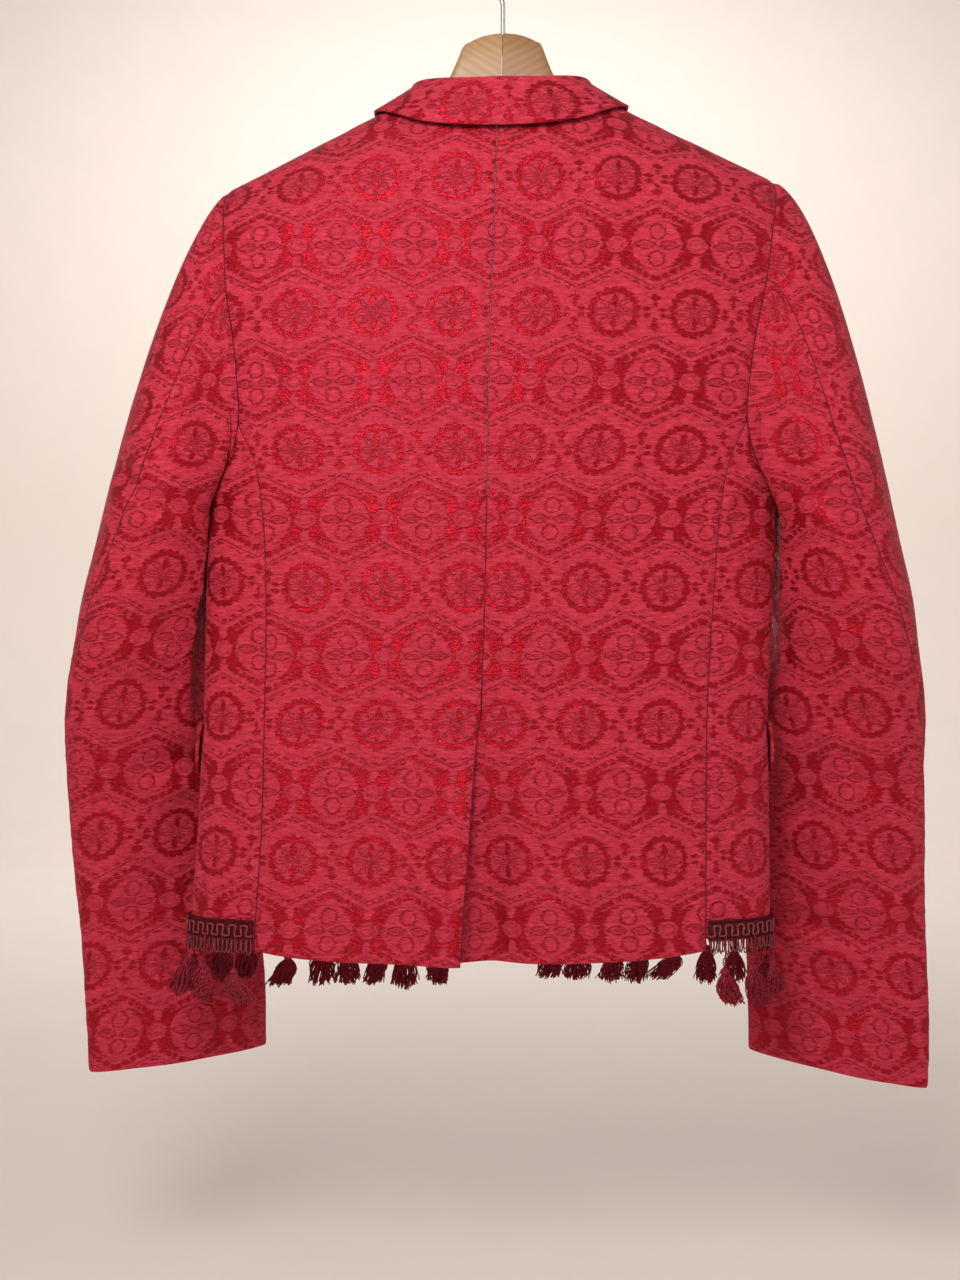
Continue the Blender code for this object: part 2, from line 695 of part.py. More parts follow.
def clear_of_body(points, clear):
    """Sleeve points moved out to where they are clear of the body's side."""
    out, back, drop = np.moveaxis(points, -1, 0)
    depth = np.where(back >= 0, through(BODY, 2, drop), through(BODY, 3, drop)) + clear
    within = np.clip(1 - (np.abs(back) / depth) ** SQUARE, 0, 1)
    least = (through(BODY, 1, drop) + clear) * within ** (1 / SQUARE)
    below = smooth(0.340, 0.360, drop)
    moved = points.copy()
    moved[..., 0] = out + np.maximum(least - out, 0) * below
    return moved


def sleeve_half(side, upper):
    """Outer face of the upper or the under sleeve, armhole first. From the armhole A to the
    first ring B it is a cubic with end slopes p and q:
    (1 + 2t)(1 - t)^2 A + t(1 - t)^2 p + t^2(3 - 2t) B - t^2(1 - t) q."""
    back_points = [p + ARM_ROUND for p in BACK_ARM_POINTS[::-1] if p <= ELBOW_NOTCH]
    if upper:
        rows = [p for p in FRONT_ARM_POINTS if p >= FRONT_NOTCH] + back_points[1:]
    else:
        rows = list(range(ELBOW_NOTCH, FRONT_NOTCH + 1))
    line = armhole(np.array(rows) - (1e-9 if upper else 0))
    start = body(line[:, 0], line[:, 1])
    steps = np.linalg.norm(np.diff(start, axis=0), axis=1)
    along = np.concatenate([[0], np.cumsum(steps)])
    share = (along / along[-1] + np.linspace(0, 1, len(rows))) / 2
    end = sleeve_ring(side, SLEEVE_RINGS[0], share, upper)
    chord = np.linalg.norm(end - start, axis=1, keepdims=True)
    slope = (sleeve_ring(side, SLEEVE_RINGS[0] + 0.01, share, upper) - end) / 0.01
    low = smooth(0.30, 0.41, start[:, 2])
    leave = np.radians(CAP_LEAVES[side] + (CAP_LEAVES_LOW - CAP_LEAVES[side]) * low)
    p = 0.64 * chord * np.stack([np.cos(leave), 0 * leave, np.sin(leave)], axis=1)
    q = 0.97 * chord * slope
    t = np.array(CAP_SHARES)[:, None, None]
    cap = (
        (1 + 2 * t) * (1 - t) ** 2 * start + t * (1 - t) ** 2 * p
        + t * t * (3 - 2 * t) * end - t * t * (1 - t) * q
    )
    low_rows = sleeve_ring(side, np.array(SLEEVE_RINGS)[:, None], share[None], upper)
    grid = np.concatenate([cap, low_rows])
    clear = np.concatenate([
        np.full(len(CAP_SHARES), SLEEVE_CLEAR_TOP),
        SLEEVE_CLEAR_TOP + (SLEEVE_CLEAR_LOW - SLEEVE_CLEAR_TOP)
        * smooth(0.46, 0.56, np.array(SLEEVE_RINGS)),
    ])
    grid[1:] = clear_of_body(grid[1:], clear[1:, None])
    rim = outward(line[:, 0], line[:, 1])
    inward = ARM_MIDDLE - start
    inward -= rim * (inward * rim).sum(1, keepdims=True)
    grid[0] += inward / np.linalg.norm(inward, axis=1, keepdims=True) * 0.8 * SEAM
    return grid, rim


def sleeve(side, name, materials):
    """Both halves of a sleeve. Their normals come from the closed sections, so that the
    walls stay parallel along the two seams, and at the armhole they follow the body."""
    upper, upper_rim = sleeve_half(side, True)
    under, under_rim = sleeve_half(side, False)
    whole = np.concatenate([under[:, :-1], upper[:, :-1]], axis=1)
    round_it = np.roll(whole, -1, axis=1) - np.roll(whole, 1, axis=1)
    normals = np.cross(round_it, np.gradient(whole, axis=0))
    normals /= np.linalg.norm(normals, axis=-1, keepdims=True)
    middle = whole.mean(axis=1, keepdims=True)
    if ((normals * (whole - middle)).sum(-1) > 0).mean() < 0.5:
        normals = -normals
    count = under.shape[1] - 1
    under_normals = normals[:, : count + 1].copy()
    upper_normals = np.concatenate([normals[:, count:], normals[:, :1]], axis=1)
    under_normals[0], upper_normals[0] = under_rim, upper_rim
    edges = ("first column", "last column")
    for grid, n, part, material in (
        (upper, upper_normals, "upper", materials[0]),
        (under, under_normals, "under", materials[1]),
    ):
        grid = pulled_in(grid, edges, 0.8 * SEAM)
        wall(f"{name}_{part}", grid, grid - n * CLOTH, side, material)


# Collar, lapels, flaps and button


def lying_on(line, offset, front):
    """Points on the body moved out by an offset, from (out, drop) on its front or back."""
    around = around_at(line[..., 0], line[..., 1], front)
    normals = outward(around, line[..., 1])
    return body(around, line[..., 1]) + normals * np.asarray(offset)[..., None], normals


def collar(name, material):
    """The collar as one wall: the stand up from the neck seam, over the fold, and the fall
    down onto the shoulders. Each station is a section square to the fold."""
    stations = np.array(COLLAR_STATIONS)
    table = np.stack([through(numbered(COLLAR), k, stations) for k in range(1, 8)], axis=1)
    fold = table[:, [2, 3, 4]]
    path = np.concatenate([fold[1:2] * (-1, 1, 1), fold])
    run = np.gradient(path, axis=0)[1:, :2]
    away = np.stack([run[:, 1] * -1, run[:, 0]], axis=1)
    away = np.concatenate([away / np.linalg.norm(away, axis=1, keepdims=True), 0 * away[:, :1]], axis=1)
    away[0] = (0, 1, 0)
    away *= np.sign((away * (fold + (0, 0.01, 0))).sum(1, keepdims=True))
    up = np.array([0, 0, -1.0])
    half = COLLAR_CLOTH + COLLAR_FOLD / 2
    is_front = stations > COLLAR_SIDE_ROW
    seam, _ = lying_on(table[:, :2], np.zeros(len(table)), is_front)
    seam = seam - away * COLLAR_CLOTH + up * 0.0009
    off = CLEAR + COLLAR_CLOTH + COLLAR_LIFT
    edge, _ = lying_on(table[:, 5:7], np.full(len(table), off), is_front)
    arc = [
        fold + half * (math.cos(a) * -away + math.sin(a) * up)
        for a in np.radians((0, 45, 90, 135, 180))
    ]
    fall = [off_body(arc[-1] + (edge - arc[-1]) * t, off) for t in (0.35, 0.70)] + [edge]
    right_half = np.stack([seam, *arc, *fall], axis=0)
    grid = np.concatenate([right_half[:, :0:-1] * (-1, 1, 1), right_half], axis=1)
    normals = grid_normals(grid)
    middle = right_half.shape[1] - 1
    if normals[-1, middle, 1] < 0:
        normals = -normals
    return wall(name, grid, grid - normals * COLLAR_CLOTH, 1, material)


def lapel(side, name, material, rows=10, columns=5):
    """The lapel lies on the front from the roll line out, turned up a little at the roll."""
    t = np.linspace(LAPEL_FROM[side], 1.0, rows)[:, None]
    u = np.linspace(0, 1, columns)[None, :]
    roll = roll_at(side, t)
    along = roll_at(side, np.array(1.0)) - roll_at(side, np.array(0.0))
    square_to = np.array([-along[1], along[0]]) / np.linalg.norm(along)
    width = through(LAPEL_WIDTH, 1, t) * smooth(LAPEL_FROM[side] - 0.12, LAPEL_FROM[side] + 0.2, t)
    gorge = np.array([math.cos(GORGE_SLOPE), math.sin(GORGE_SLOPE)])
    turn = smooth(0.80, 1.0, t)[..., None]
    way = square_to * (1 - turn) + gorge * turn
    flat = roll + (u * width)[..., None] * way
    lift = CLEAR + CLOTH + LAPEL_ROLL * (1 - u) ** 2 * np.ones_like(t)
    grid, normals = lying_on(flat, lift, True)
    return wall(name, grid, grid - normals * CLOTH, side, material)


def flap(name, side, material, columns=9):
    across = np.linspace(FLAP_REAR, FLAP_FRONT, columns)
    drops = np.array([FLAP_BOTTOM, (FLAP_TOP + FLAP_BOTTOM) / 2, FLAP_TOP])[:, None]
    around = across[None, :] + FLAP_SLANT * (drops - FLAP_TOP) * smooth(1.2, 0.9, across)[None, :]
    around, drops = np.broadcast_arrays(around, drops)
    normals = outward(around, drops)
    grid = body(around, drops) + normals * (2 * CLEAR + CLOTH)
    return wall(name, grid, grid - normals * CLOTH, side, material)


def button(name, material):
    """A turned button: rings from its back up over a rounded rim to a shallow dish."""
    centre = body(around_at(BUTTON_OUT, BUTTON_DROP, True), BUTTON_DROP)
    profile = (
        (0.60, 0.0), (0.92, 0.10), (1.00, 0.45), (0.94, 0.85), (0.80, 1.00), (0.60, 0.86), (0.30, 0.78)
    )
    turn = np.radians(np.arange(0, 360, 20))
    rings = [
        np.stack([
            centre[0] + BUTTON_HALF * r * np.cos(turn),
            np.full(len(turn), centre[1] - 2 * CLEAR - BUTTON_THICK * h),
            centre[2] + BUTTON_HALF * r * np.sin(turn),
        ], axis=1)
        for r, h in profile
    ]
    return loft(name, [settle(ring, -1) for ring in rings], material)


# Trim


def trim(name, line, ends, side, material):
    """Braid along a hem with a short skirt of fringe below it, and tassels on cords from
    the skirt's edge. line is the hem as (around, drop), read between two shares of it."""
    length = np.linalg.norm(np.diff(body(line[:, 0], line[:, 1]), axis=0), axis=1).sum()
    low, high = ends
    count = max(1, round((high - low) * length / TASSEL_PITCH))
    middles = low + (high - low) * (np.arange(count) + 0.5) / count
    half = CORD / 2 / length
    shares = np.sort(np.concatenate([
        [low, high], middles - half, middles + half,
        low + (high - low) * np.arange(1, count) / count,
    ]))
    hem = resampled(line, shares)
    falls = np.array([BRAID_TOP, BRAID_BOTTOM, BRAID_BOTTOM + 0.0002, SKIRT_BOTTOM])[::-1, None]
    thick = np.array([BRAID_THICK, BRAID_THICK, SKIRT_THICK, SKIRT_THICK])[::-1, None, None]
    around, drops = np.broadcast_arrays(hem[None, :, 0], hem[None, :, 1] + falls)
    normals = outward(around, drops)
    normals[..., 2] = 0
    normals /= np.linalg.norm(normals, axis=-1, keepdims=True)
    inner = body(around, drops) + normals * CLEAR
    outer = inner + normals * thick
    points = list(np.concatenate([outer.reshape(-1, 3), inner.reshape(-1, 3)]))
    columns = len(shares)
    faces = wall_faces(4, columns)
    start = 4 * columns
    for middle in middles:
        c = int(np.argmin(np.abs(shares - (middle - half))))
        root = (c, start + c, start + c + 1, c + 1)
        faces = [f for f in faces if set(f) != set(root)]
        way = outer[0, c + 1] - outer[0, c]
        way = way * (1, 1, 0) / np.linalg.norm(way[:2])
        tassel(points, faces, root, way, normals[0, c])
    points = settle(points, side)
    return make_object(name, points, facing_out(points, faces), material)


def tassel(points, faces, root, way, away):
    """Adds a tassel below a root face. Each level is a rectangle across (way) and deep
    (away), and the head's under side is divided into cells that each let down one lock."""
    centre = np.mean([points[i] for i in root], axis=0)
    down = np.array([0, 0, 1.0])

    def level(fall, across, deep):
        made = []
        for a, d in ((-1, 1), (-1, -1), (1, -1), (1, 1)):
            made.append(len(points))
            points.append(centre + down * fall + way * across * a + away * deep * d)
        return made

    def sides(upper, lower):
        for k in range(4):
            m = (k + 1) % 4
            faces.append((upper[k], upper[m], lower[m], lower[k]))

    cord = level(CORD_LONG, CORD / 2, SKIRT_THICK / 2)
    crown = level(CORD_LONG + 0.0012, HEAD_HALF * 0.75, HEAD_DEEP * 0.75)
    sides(root, cord)
    sides(cord, crown)
    fall = CORD_LONG + HEAD_LONG
    grid = np.empty((LOCKS_WIDE + 1, LOCKS_DEEP + 1), int)
    for i in range(LOCKS_WIDE + 1):
        for j in range(LOCKS_DEEP + 1):
            grid[i, j] = len(points)
            a, d = 2 * i / LOCKS_WIDE - 1, 1 - 2 * j / LOCKS_DEEP
            points.append(centre + down * fall + way * HEAD_HALF * a + away * HEAD_DEEP * d)
    rims = (grid[0, :], grid[:, -1], grid[-1, ::-1], grid[::-1, 0])
    for k, rim in enumerate(rims):
        faces.append((crown[k], crown[(k + 1) % 4], *(int(i) for i in rim[::-1])))
    for i in range(LOCKS_WIDE):
        for j in range(LOCKS_DEEP):
            cell = [int(v) for v in (grid[i, j], grid[i, j + 1], grid[i + 1, j + 1], grid[i + 1, j])]
            lock(points, faces, cell, centre + down * fall)


def lock(points, faces, cell, under):
    """One lock of a tassel, let down from a cell: narrower than it, bowed out and tapered."""
    corners = np.array([points[i] for i in cell])
    middle = corners.mean(0)
    from_axis = (middle - under) * (1, 1, 0)
    before = cell
    for fall, width, spread in ((0.45, 0.80, 1.5), (1.0, 0.55, 1.28)):
        drop = fall * (TASSEL_LONG - HEAD_LONG)
        ring = []
        for corner in corners:
            ring.append(len(points))
            shift = from_axis * (spread - 1) + (0, 0, drop)
            points.append(middle + (corner - middle) * width + shift)
        for k in range(4):
            m = (k + 1) % 4
            faces.append((before[k], before[m], ring[m], ring[k]))
        before = ring
    faces.append(tuple(before))


# Hanger


def loft(name, rings, material, sharp=40.0):
    """A closed solid through rings of equally many points, flat at both ends."""
    count = len(rings[0])
    points = np.concatenate(rings)
    faces = []
    for r in range(len(rings) - 1):
        for k in range(count):
            m = (k + 1) % count
            a, b = r * count, (r + 1) * count
            faces.append((a + k, a + m, b + m, b + k))
    faces.append(tuple(range(count))[::-1])
    faces.append(tuple(range(len(points) - count, len(points))))
    return make_object(name, points, facing_out(points, faces), material, sharp)


def hanger_half(name, side, material, hole):
    table = np.array(HANGER)
    turn = np.radians(np.arange(0, 360, 30) + 15)
    rings = []
    for out, top, bottom, half in table:
        out = max(out, SEAM / 2)
        y = half * np.sign(np.cos(turn)) * np.abs(np.cos(turn)) ** (2 / HANGER_SQUARE)
        z = np.sign(np.sin(turn)) * np.abs(np.sin(turn)) ** (2 / HANGER_SQUARE)
        drop = (top + bottom) / 2 - z * (bottom - top) / 2
        rings.append(settle(np.stack([np.full(12, out), y, drop], axis=1), side))
    half_block = loft(name, rings, material)
    cut = half_block.modifiers.new("hook hole", "BOOLEAN")
    cut.operation, cut.solver, cut.object = "DIFFERENCE", "EXACT", hole
    return half_block


def hook_hole():
    """The cutter for the hole that the hook's stem sits in."""
    turn = np.radians(np.arange(0, 360, 30))
    rings = [
        np.stack([HOLE * np.cos(turn), HOLE * np.sin(turn), np.full(12, z)], axis=1)
        for z in (-0.060, -HOOK_PATH[0][1] - SEAM)
    ]
    cutter = loft("hook_hole", rings, None)
    cutter.hide_render, cutter.display_type = True, "WIRE"
    return cutter


def tube(name, path, radius, material, sides=8):
    """A wire along a path in the plane of the hanger, (x, z)."""
    path = np.asarray(path, float)
    run = np.gradient(path, axis=0)
    run /= np.linalg.norm(run, axis=1, keepdims=True)
    turn = np.radians(np.arange(sides) * 360.0 / sides)
    rings = []
    for (x, z), (dx, dz) in zip(path, run):
        across = np.cos(turn) * radius
        rings.append(np.stack([x - dz * across, np.sin(turn) * radius, z + dx * across], axis=1))
    return loft(name, rings, material)


def hook_path():
    """Up the stem, round to the left and over in a circle that the rail sits inside."""
    radius = HOOK_INSIDE + WIRE
    turn = np.radians(np.arange(122, -118, -10))
    circle = np.stack([radius * np.sin(turn), HOOK_INSIDE - radius * np.cos(turn)], axis=1)
    line = np.concatenate([HOOK_PATH, circle])
    return evenly(line, 36) * (1, -1)


def side_start():
    return float(around_at(through(SIDE_BACK_SEAM, 1, SIDE_HEM), SIDE_HEM))


def side_end():
    return float(around_at(through(SIDE_FRONT_SEAM, 1, SIDE_HEM), SIDE_HEM, True))


# Materials


def principled(name, colour, roughness, metallic=0.0):
    material = bpy.data.materials.new(name)
    material.use_nodes = True
    shader = material.node_tree.nodes["Principled BSDF"]
    shader.inputs["Base Color"].default_value = (*colour, 1.0)
    shader.inputs["Roughness"].default_value = roughness
    shader.inputs["Metallic"].default_value = metallic
    return material


def build():
    for thing in list(bpy.data.objects):
        bpy.data.objects.remove(thing, do_unlink=True)

    wine = (0.09, 0.006, 0.018)

    def brocade(name, shade):
        return principled(name, (0.32 * shade, 0.012 * shade, 0.045 * shade), 0.5)

    hole = hook_hole()
    for side, word in ((1, "left"), (-1, "right")):
        panel(
            f"back_{word}", back_panel(side), side, brocade(f"brocade_back_{word}", 1.0),
            ("first column", "last column", "last row"), half=1,
        )
        panel(
            f"side_{word}", side_panel(), side, brocade(f"brocade_side_{word}", 0.9),
            ("first column", "last column", "last row"),
        )
        panel(
            f"front_{word}", front_panel(side), side, brocade(f"brocade_front_{word}", 1.0),
            ("last column", "last row"), half=-1,
        )
        sleeve(side, f"sleeve_{word}", (
            brocade(f"brocade_sleeve_{word}_upper", 1.05),
            brocade(f"brocade_sleeve_{word}_under", 0.95),
        ))
        lapel(side, f"lapel_{word}", brocade(f"brocade_lapel_{word}", 0.95))
        flap(f"pocket_flap_{word}", side, brocade(f"brocade_flap_{word}", 1.0))
        side_hem = np.stack([
            np.linspace(side_start(), side_end(), 40), np.full(40, SIDE_HEM)
        ], axis=1)
        front_hem = on_front(front_hem_line(side))[::-1]
        for place, line, ends in (
            ("side", side_hem, (0.004, 0.994)), ("front", front_hem, (0.012, 0.97))
        ):
            braid = principled(f"braid_{place}_{word}", wine, 0.7)
            trim(f"trim_{place}_{word}", line, ends, side, braid)
        wood = (0.46, 0.27, 0.12) if side > 0 else (0.36, 0.19, 0.08)
        hanger_half(f"hanger_{word}", side, principled(f"wood_{word}", wood, 0.45), hole)
    collar("collar", brocade("brocade_collar", 1.0))
    button("front_button", principled("horn", (0.05, 0.02, 0.015), 0.35))
    tube("hook", hook_path(), WIRE, principled("steel", (0.55, 0.54, 0.52), 0.28, 1.0))


build()
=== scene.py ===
"""The looks of a short brocade blazer on a wooden coat hanger.

Metres, +Z up, in the part's own frame: the origin is the inside top of the hanger's hook,
the jacket's front faces -Y and its back +Y, and the wearer's left is +X.

Every piece is worked out from named sizes, as the part is: first upright and even on both
sides, as (out, back, drop), then settle() leans it and tips its shoulders. The tip of the
armhole and the round of the sleeves' caps are finer here than in the part.
"""

import json
import math

import bpy
import numpy as np
from bpy.props import FloatProperty, FloatVectorProperty, IntProperty, PointerProperty
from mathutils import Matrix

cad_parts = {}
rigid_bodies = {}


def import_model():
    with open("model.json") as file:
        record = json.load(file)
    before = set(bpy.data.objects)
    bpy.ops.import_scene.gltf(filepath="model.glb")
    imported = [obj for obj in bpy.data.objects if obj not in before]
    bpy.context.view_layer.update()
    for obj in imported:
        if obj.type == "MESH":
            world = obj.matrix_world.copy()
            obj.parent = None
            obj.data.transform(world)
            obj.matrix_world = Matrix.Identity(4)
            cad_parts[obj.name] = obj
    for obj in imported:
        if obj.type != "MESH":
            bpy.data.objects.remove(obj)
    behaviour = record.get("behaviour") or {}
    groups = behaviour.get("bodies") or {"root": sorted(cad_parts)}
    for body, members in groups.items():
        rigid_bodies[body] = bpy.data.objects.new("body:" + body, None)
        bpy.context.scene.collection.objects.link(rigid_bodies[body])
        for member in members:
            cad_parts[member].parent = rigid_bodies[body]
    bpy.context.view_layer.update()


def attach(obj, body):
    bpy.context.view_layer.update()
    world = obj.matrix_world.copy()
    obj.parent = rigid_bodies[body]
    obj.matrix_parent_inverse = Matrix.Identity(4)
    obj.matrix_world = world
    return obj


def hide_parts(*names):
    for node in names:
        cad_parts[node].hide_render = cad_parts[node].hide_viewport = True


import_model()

bl_info = {
    "name": "Brocade blazer on a hanger",
    "version": (1, 0, 0),
    "blender": (4, 5, 0),
    "location": "3D View > Sidebar > Blazer",
    "description": "Makes the cloth, trim, button and hanger of a brocade blazer",
    "category": "Add Mesh",
}

# Cloth and seams
CLOTH = 0.002  # brocade with its backing, as one wall
COLLAR_CLOTH = 0.0024  # two layers with canvas between
COLLAR_FOLD = 0.0012  # room left inside the collar's fold
SEAM = 0.0003  # gap between two pieces that are sewn together
CLEAR = 0.0006  # gap between two layers that lie on each other
SQUARE = 2.5  # power of the body's rounded cross section, 2 is an ellipse
RIDGE = 0.060  # drop over which the shoulders round over the hanger

# How the jacket hangs: the drop, and how far its middle has swung to the left there
LEAN = (
    # drop,  left
    (0.000, 0.0000),
    (0.060, 0.0000),
    (0.100, 0.0010),
    (0.190, 0.0022),
    (0.250, 0.0048),
    (0.330, 0.0072),
    (0.410, 0.0085),
    (0.475, 0.0096),
    (0.571, 0.0128),
    (0.666, 0.0145),
    (0.713, 0.0163),
    (0.765, 0.0172),
    (0.860, 0.0175),
)
SHOULDER_TIP = 0.020  # drop per metre to the left, at the shoulders
TIP_FROM, TIP_TO = 0.250, 0.450  # drops between which that tip fades out

# The body's sections: half its width, and its depth behind and before the hanger
BODY = (
    # drop, half width, back, front
    (0.100, 0.2240, 0.0330, 0.0290),
    (0.150, 0.2250, 0.0375, 0.0370),
    (0.190, 0.2250, 0.0410, 0.0450),
    (0.250, 0.2220, 0.0455, 0.0550),
    (0.330, 0.2150, 0.0470, 0.0610),
    (0.410, 0.2085, 0.0440, 0.0630),
    (0.475, 0.2072, 0.0410, 0.0590),
    (0.520, 0.2064, 0.0400, 0.0550),
    (0.571, 0.2059, 0.0400, 0.0530),
    (0.612, 0.2074, 0.0410, 0.0530),
    (0.666, 0.2089, 0.0430, 0.0540),
    (0.713, 0.2109, 0.0450, 0.0550),
    (0.765, 0.2120, 0.0460, 0.0560),
)

# The line over the top of the shoulders
SHOULDER_LINE = (
    # out,   drop
    (0.000, 0.1080),
    (0.040, 0.1120),
    (0.070, 0.1210),
    (0.093, 0.1325),
    (0.131, 0.1515),
    (0.165, 0.1680),
    (0.204, 0.1868),
    (0.240, 0.2030),
)

# The armhole, from the shoulder down the back, under the arm and up the front.
# around is 0 at the centre back, 1 at the side and 2 at the centre front.
ARMHOLE = (
    # drop, around
    (0.184262, 0.653),  # shoulder, exactly on its line
    (0.2000, 0.660),
    (0.2250, 0.647),
    (0.2620, 0.637),  # elbow seam joins
    (0.2940, 0.616),
    (0.3250, 0.607),
    (0.3600, 0.613),  # side back seam joins
    (0.3900, 0.692),
    (0.4100, 0.848),
    (0.4165, 1.000),  # underarm
    (0.4100, 1.162),
    (0.3900, 1.333),
    (0.3600, 1.430),  # side front seam joins
    (0.3250, 1.452),  # sleeve's front seam joins
    (0.2940, 1.444),
    (0.2620, 1.408),
    (0.2250, 1.367),
    (0.2000, 1.343),
    (0.184262, 1.347),  # shoulder again
)
ELBOW_NOTCH, BACK_JOIN, FRONT_JOIN, FRONT_NOTCH, ARM_ROUND = 3, 6, 12, 13, 18
JUST_SHORT = 1e-9  # of a row, so that the armhole's end isn't read as its start

ARM_MIDDLE = (0.2050, 0.0, 0.3000)  # a point inside the armhole: out, back, drop

# Rows of the armhole where its pieces have their points, closer over the shoulder
BACK_ARM_POINTS = (6, 5, 4, 3, 2.1, 1.4, 0.8, 0.4, 0.12, 0)
SIDE_ARM_POINTS = (6, 7, 8, 9, 10, 11, 12)
FRONT_ARM_POINTS = (12, 13, 14, 15, 15.9, 16.6, 17.2, 17.6, 17.88, 18)

# The long seams, as the distance out from the middle
SIDE_BACK_SEAM = (
    # drop, out
    (0.380, 0.1710),
    (0.400, 0.1660),
    (0.420, 0.1630),
    (0.475, 0.1597),
    (0.560, 0.1575),
    (0.650, 0.1580),
    (0.740, 0.1607),
)
SIDE_FRONT_SEAM = (
    (0.380, 0.1650),
    (0.400, 0.1615),
    (0.475, 0.1580),
    (0.600, 0.1570),
    (0.740, 0.1600),
)

# Drops of the points on those seams above the hem, and of the centre back's rows
SEAM_POINTS = (0.705, 0.665, 0.625, 0.585, 0.569, 0.545, 0.505, 0.465, 0.430, 0.405, 0.383)
CENTRE_POINTS = SEAM_POINTS[:9] + (
    0.395, 0.360, 0.330, 0.295, 0.260, 0.228, 0.200, 0.178, 0.162, 0.151, 0.1445, 0.1420
)

# Hems
BACK_HEM, BACK_HEM_SIDE = 0.7425, 0.7350
SIDE_HEM = 0.7270
FRONT_HEM = 0.7330
BACK_SEAM_OUT = 0.0035  # the centre back seam lies this far left of the middle

# Centre back vent: the left back laps over an underlap of the right back
VENT_TOP, VENT_SINK = 0.569, 0.540
VENT_SPREAD = 0.0100  # how far the left edge has swung open at the hem
UNDERLAP = 0.034
UNDERLAP_SINKS = (0.030, 0.008)  # distances from the seam between which it goes behind

# Neck
NECK_POINT_OUT = 0.072
BACK_NECK = 0.1420

# Fronts: they lap at the one button and swing apart below it
BREAK_DROP = 0.478  # the lapel's roll line ends here
BUTTON_DROP, BUTTON_OUT = 0.500, -0.002
BUTTON_HALF, BUTTON_THICK = 0.0100, 0.0040
BUTTON_PROFILE = (
    # share of its radius and of its thickness, from the middle below to the middle above
    (0.0, 0.0), (0.45, 0.0), (0.80, 0.02), (0.95, 0.14), (1.00, 0.42), (0.985, 0.70),
    (0.92, 0.92), (0.83, 1.00), (0.74, 0.97), (0.66, 0.84), (0.55, 0.72), (0.35, 0.66),
    (0.0, 0.64),
)
FRONT_EDGE = (
    # drop, how far the edge is from the middle, minus is past it
    (0.478, -0.0160),
    (0.530, -0.0150),
    (0.570, -0.0080),
    (0.610, 0.0030),
    (0.650, 0.0130),
    (0.693, 0.0220),
    (0.740, 0.0270),
)
FRONT_SHIFT = 0.012  # at the hem the opening has swung this far to the right
CORNER = 0.030  # radius of the rounded front corner
FRONT_SINKS = (0.044, 0.016)  # distances out between which the left front goes behind
FRONT_LAP = (0.375, 0.400, 0.612, 0.655)  # drops between which it comes and goes

# Lapel, as seen from the front
GORGE = (0.0600, 0.1780)  # top of the roll line: out, drop
GORGE_SLOPE = math.radians(21.5)
LAPEL_ROLL = 0.0020  # how far the lapel lifts at its fold
LAPEL_FROM = {1: 0.26, -1: 0.0}  # share of the roll line where each lapel starts
LAPEL_WIDTH = (
    # share up the roll line, width across the lapel
    (0.00, 0.003),
    (0.15, 0.019),
    (0.40, 0.044),
    (0.70, 0.062),
    (0.90, 0.070),
    (1.00, 0.060),
)

# Collar, a row for each station from the centre back round to its front end
COLLAR = (
    # neck seam out, drop, fold out, fold back, drop, edge out, drop
    (0.0000, 0.1420, 0.0000, 0.0370, 0.1200, 0.0000, 0.1545),
    (0.0230, 0.1405, 0.0225, 0.0350, 0.1198, 0.0300, 0.1535),
    (0.0440, 0.1355, 0.0440, 0.0275, 0.1168, 0.0575, 0.1490),
    (0.0620, 0.1275, 0.0580, 0.0150, 0.1135, 0.0765, 0.1400),
    (0.0720, 0.1212, 0.0640, 0.0000, 0.1132, 0.0910, 0.1340),
    (0.0712, 0.1300, 0.0660, -0.0165, 0.1215, 0.0990, 0.1470),
    (0.0680, 0.1440, 0.0645, -0.0300, 0.1395, 0.1040, 0.1640),
    (0.0642, 0.1600, 0.0615, -0.0385, 0.1570, 0.1040, 0.1800),
    (0.0600, 0.1780, 0.0572, -0.0450, 0.1765, 0.1000, 0.1925),
)
COLLAR_SIDE_ROW = 4  # this station sits on the shoulder line
COLLAR_STATIONS = (0, 1, 2, 3, 3.45, 3.75, 3.9, 4, 4.08, 4.2, 4.5, 5, 6, 7, 8)
COLLAR_LIFT = 0.0021  # the fall's edge stands this far off the cloth below it
STAND_RISE = 0.0009  # how far the stand starts above the neck seam
FALL_BOW = 0.035  # how far the fall bows out, as a share of its width

# Sleeves below the armhole. out is the middle of the section for each arm, long and
# short are half its two widths, and turn is the long one's angle back from straight out.
# elbow and front are where the two seams lie, in degrees round from straight out.
SLEEVE = (
    # drop, out left, out right, forward, long, short, turn, elbow left, elbow right, front
    (0.440, 0.2405, 0.2510, 0.006, 0.0600, 0.0437, 80.0, 65.0, 76.0, 232.0),
    (0.500, 0.2530, 0.2645, 0.012, 0.0575, 0.0420, 66.0, 48.0, 59.0, 225.0),
    (0.560, 0.2515, 0.2650, 0.026, 0.0640, 0.0345, 37.0, 26.0, 40.0, 215.0),
    (0.620, 0.2505, 0.2675, 0.042, 0.0655, 0.0300, 30.0, 15.0, 20.0, 208.0),
    (0.680, 0.2460, 0.2710, 0.053, 0.0665, 0.0265, 26.0, 11.0, 12.0, 205.0),
    (0.740, 0.2375, 0.2735, 0.060, 0.0685, 0.0225, 23.0, 8.0, 8.0, 204.0),
    (0.790, 0.2335, 0.2765, 0.062, 0.0690, 0.0190, 22.0, 6.0, 6.0, 203.0),
    (0.838, 0.2319, 0.2765, 0.062, 0.0680, 0.0165, 21.0, 5.0, 5.0, 202.0),
)
CAP_LEAVES = {1: 34.0, -1: 17.0}  # degrees below level that it leaves the shoulder at
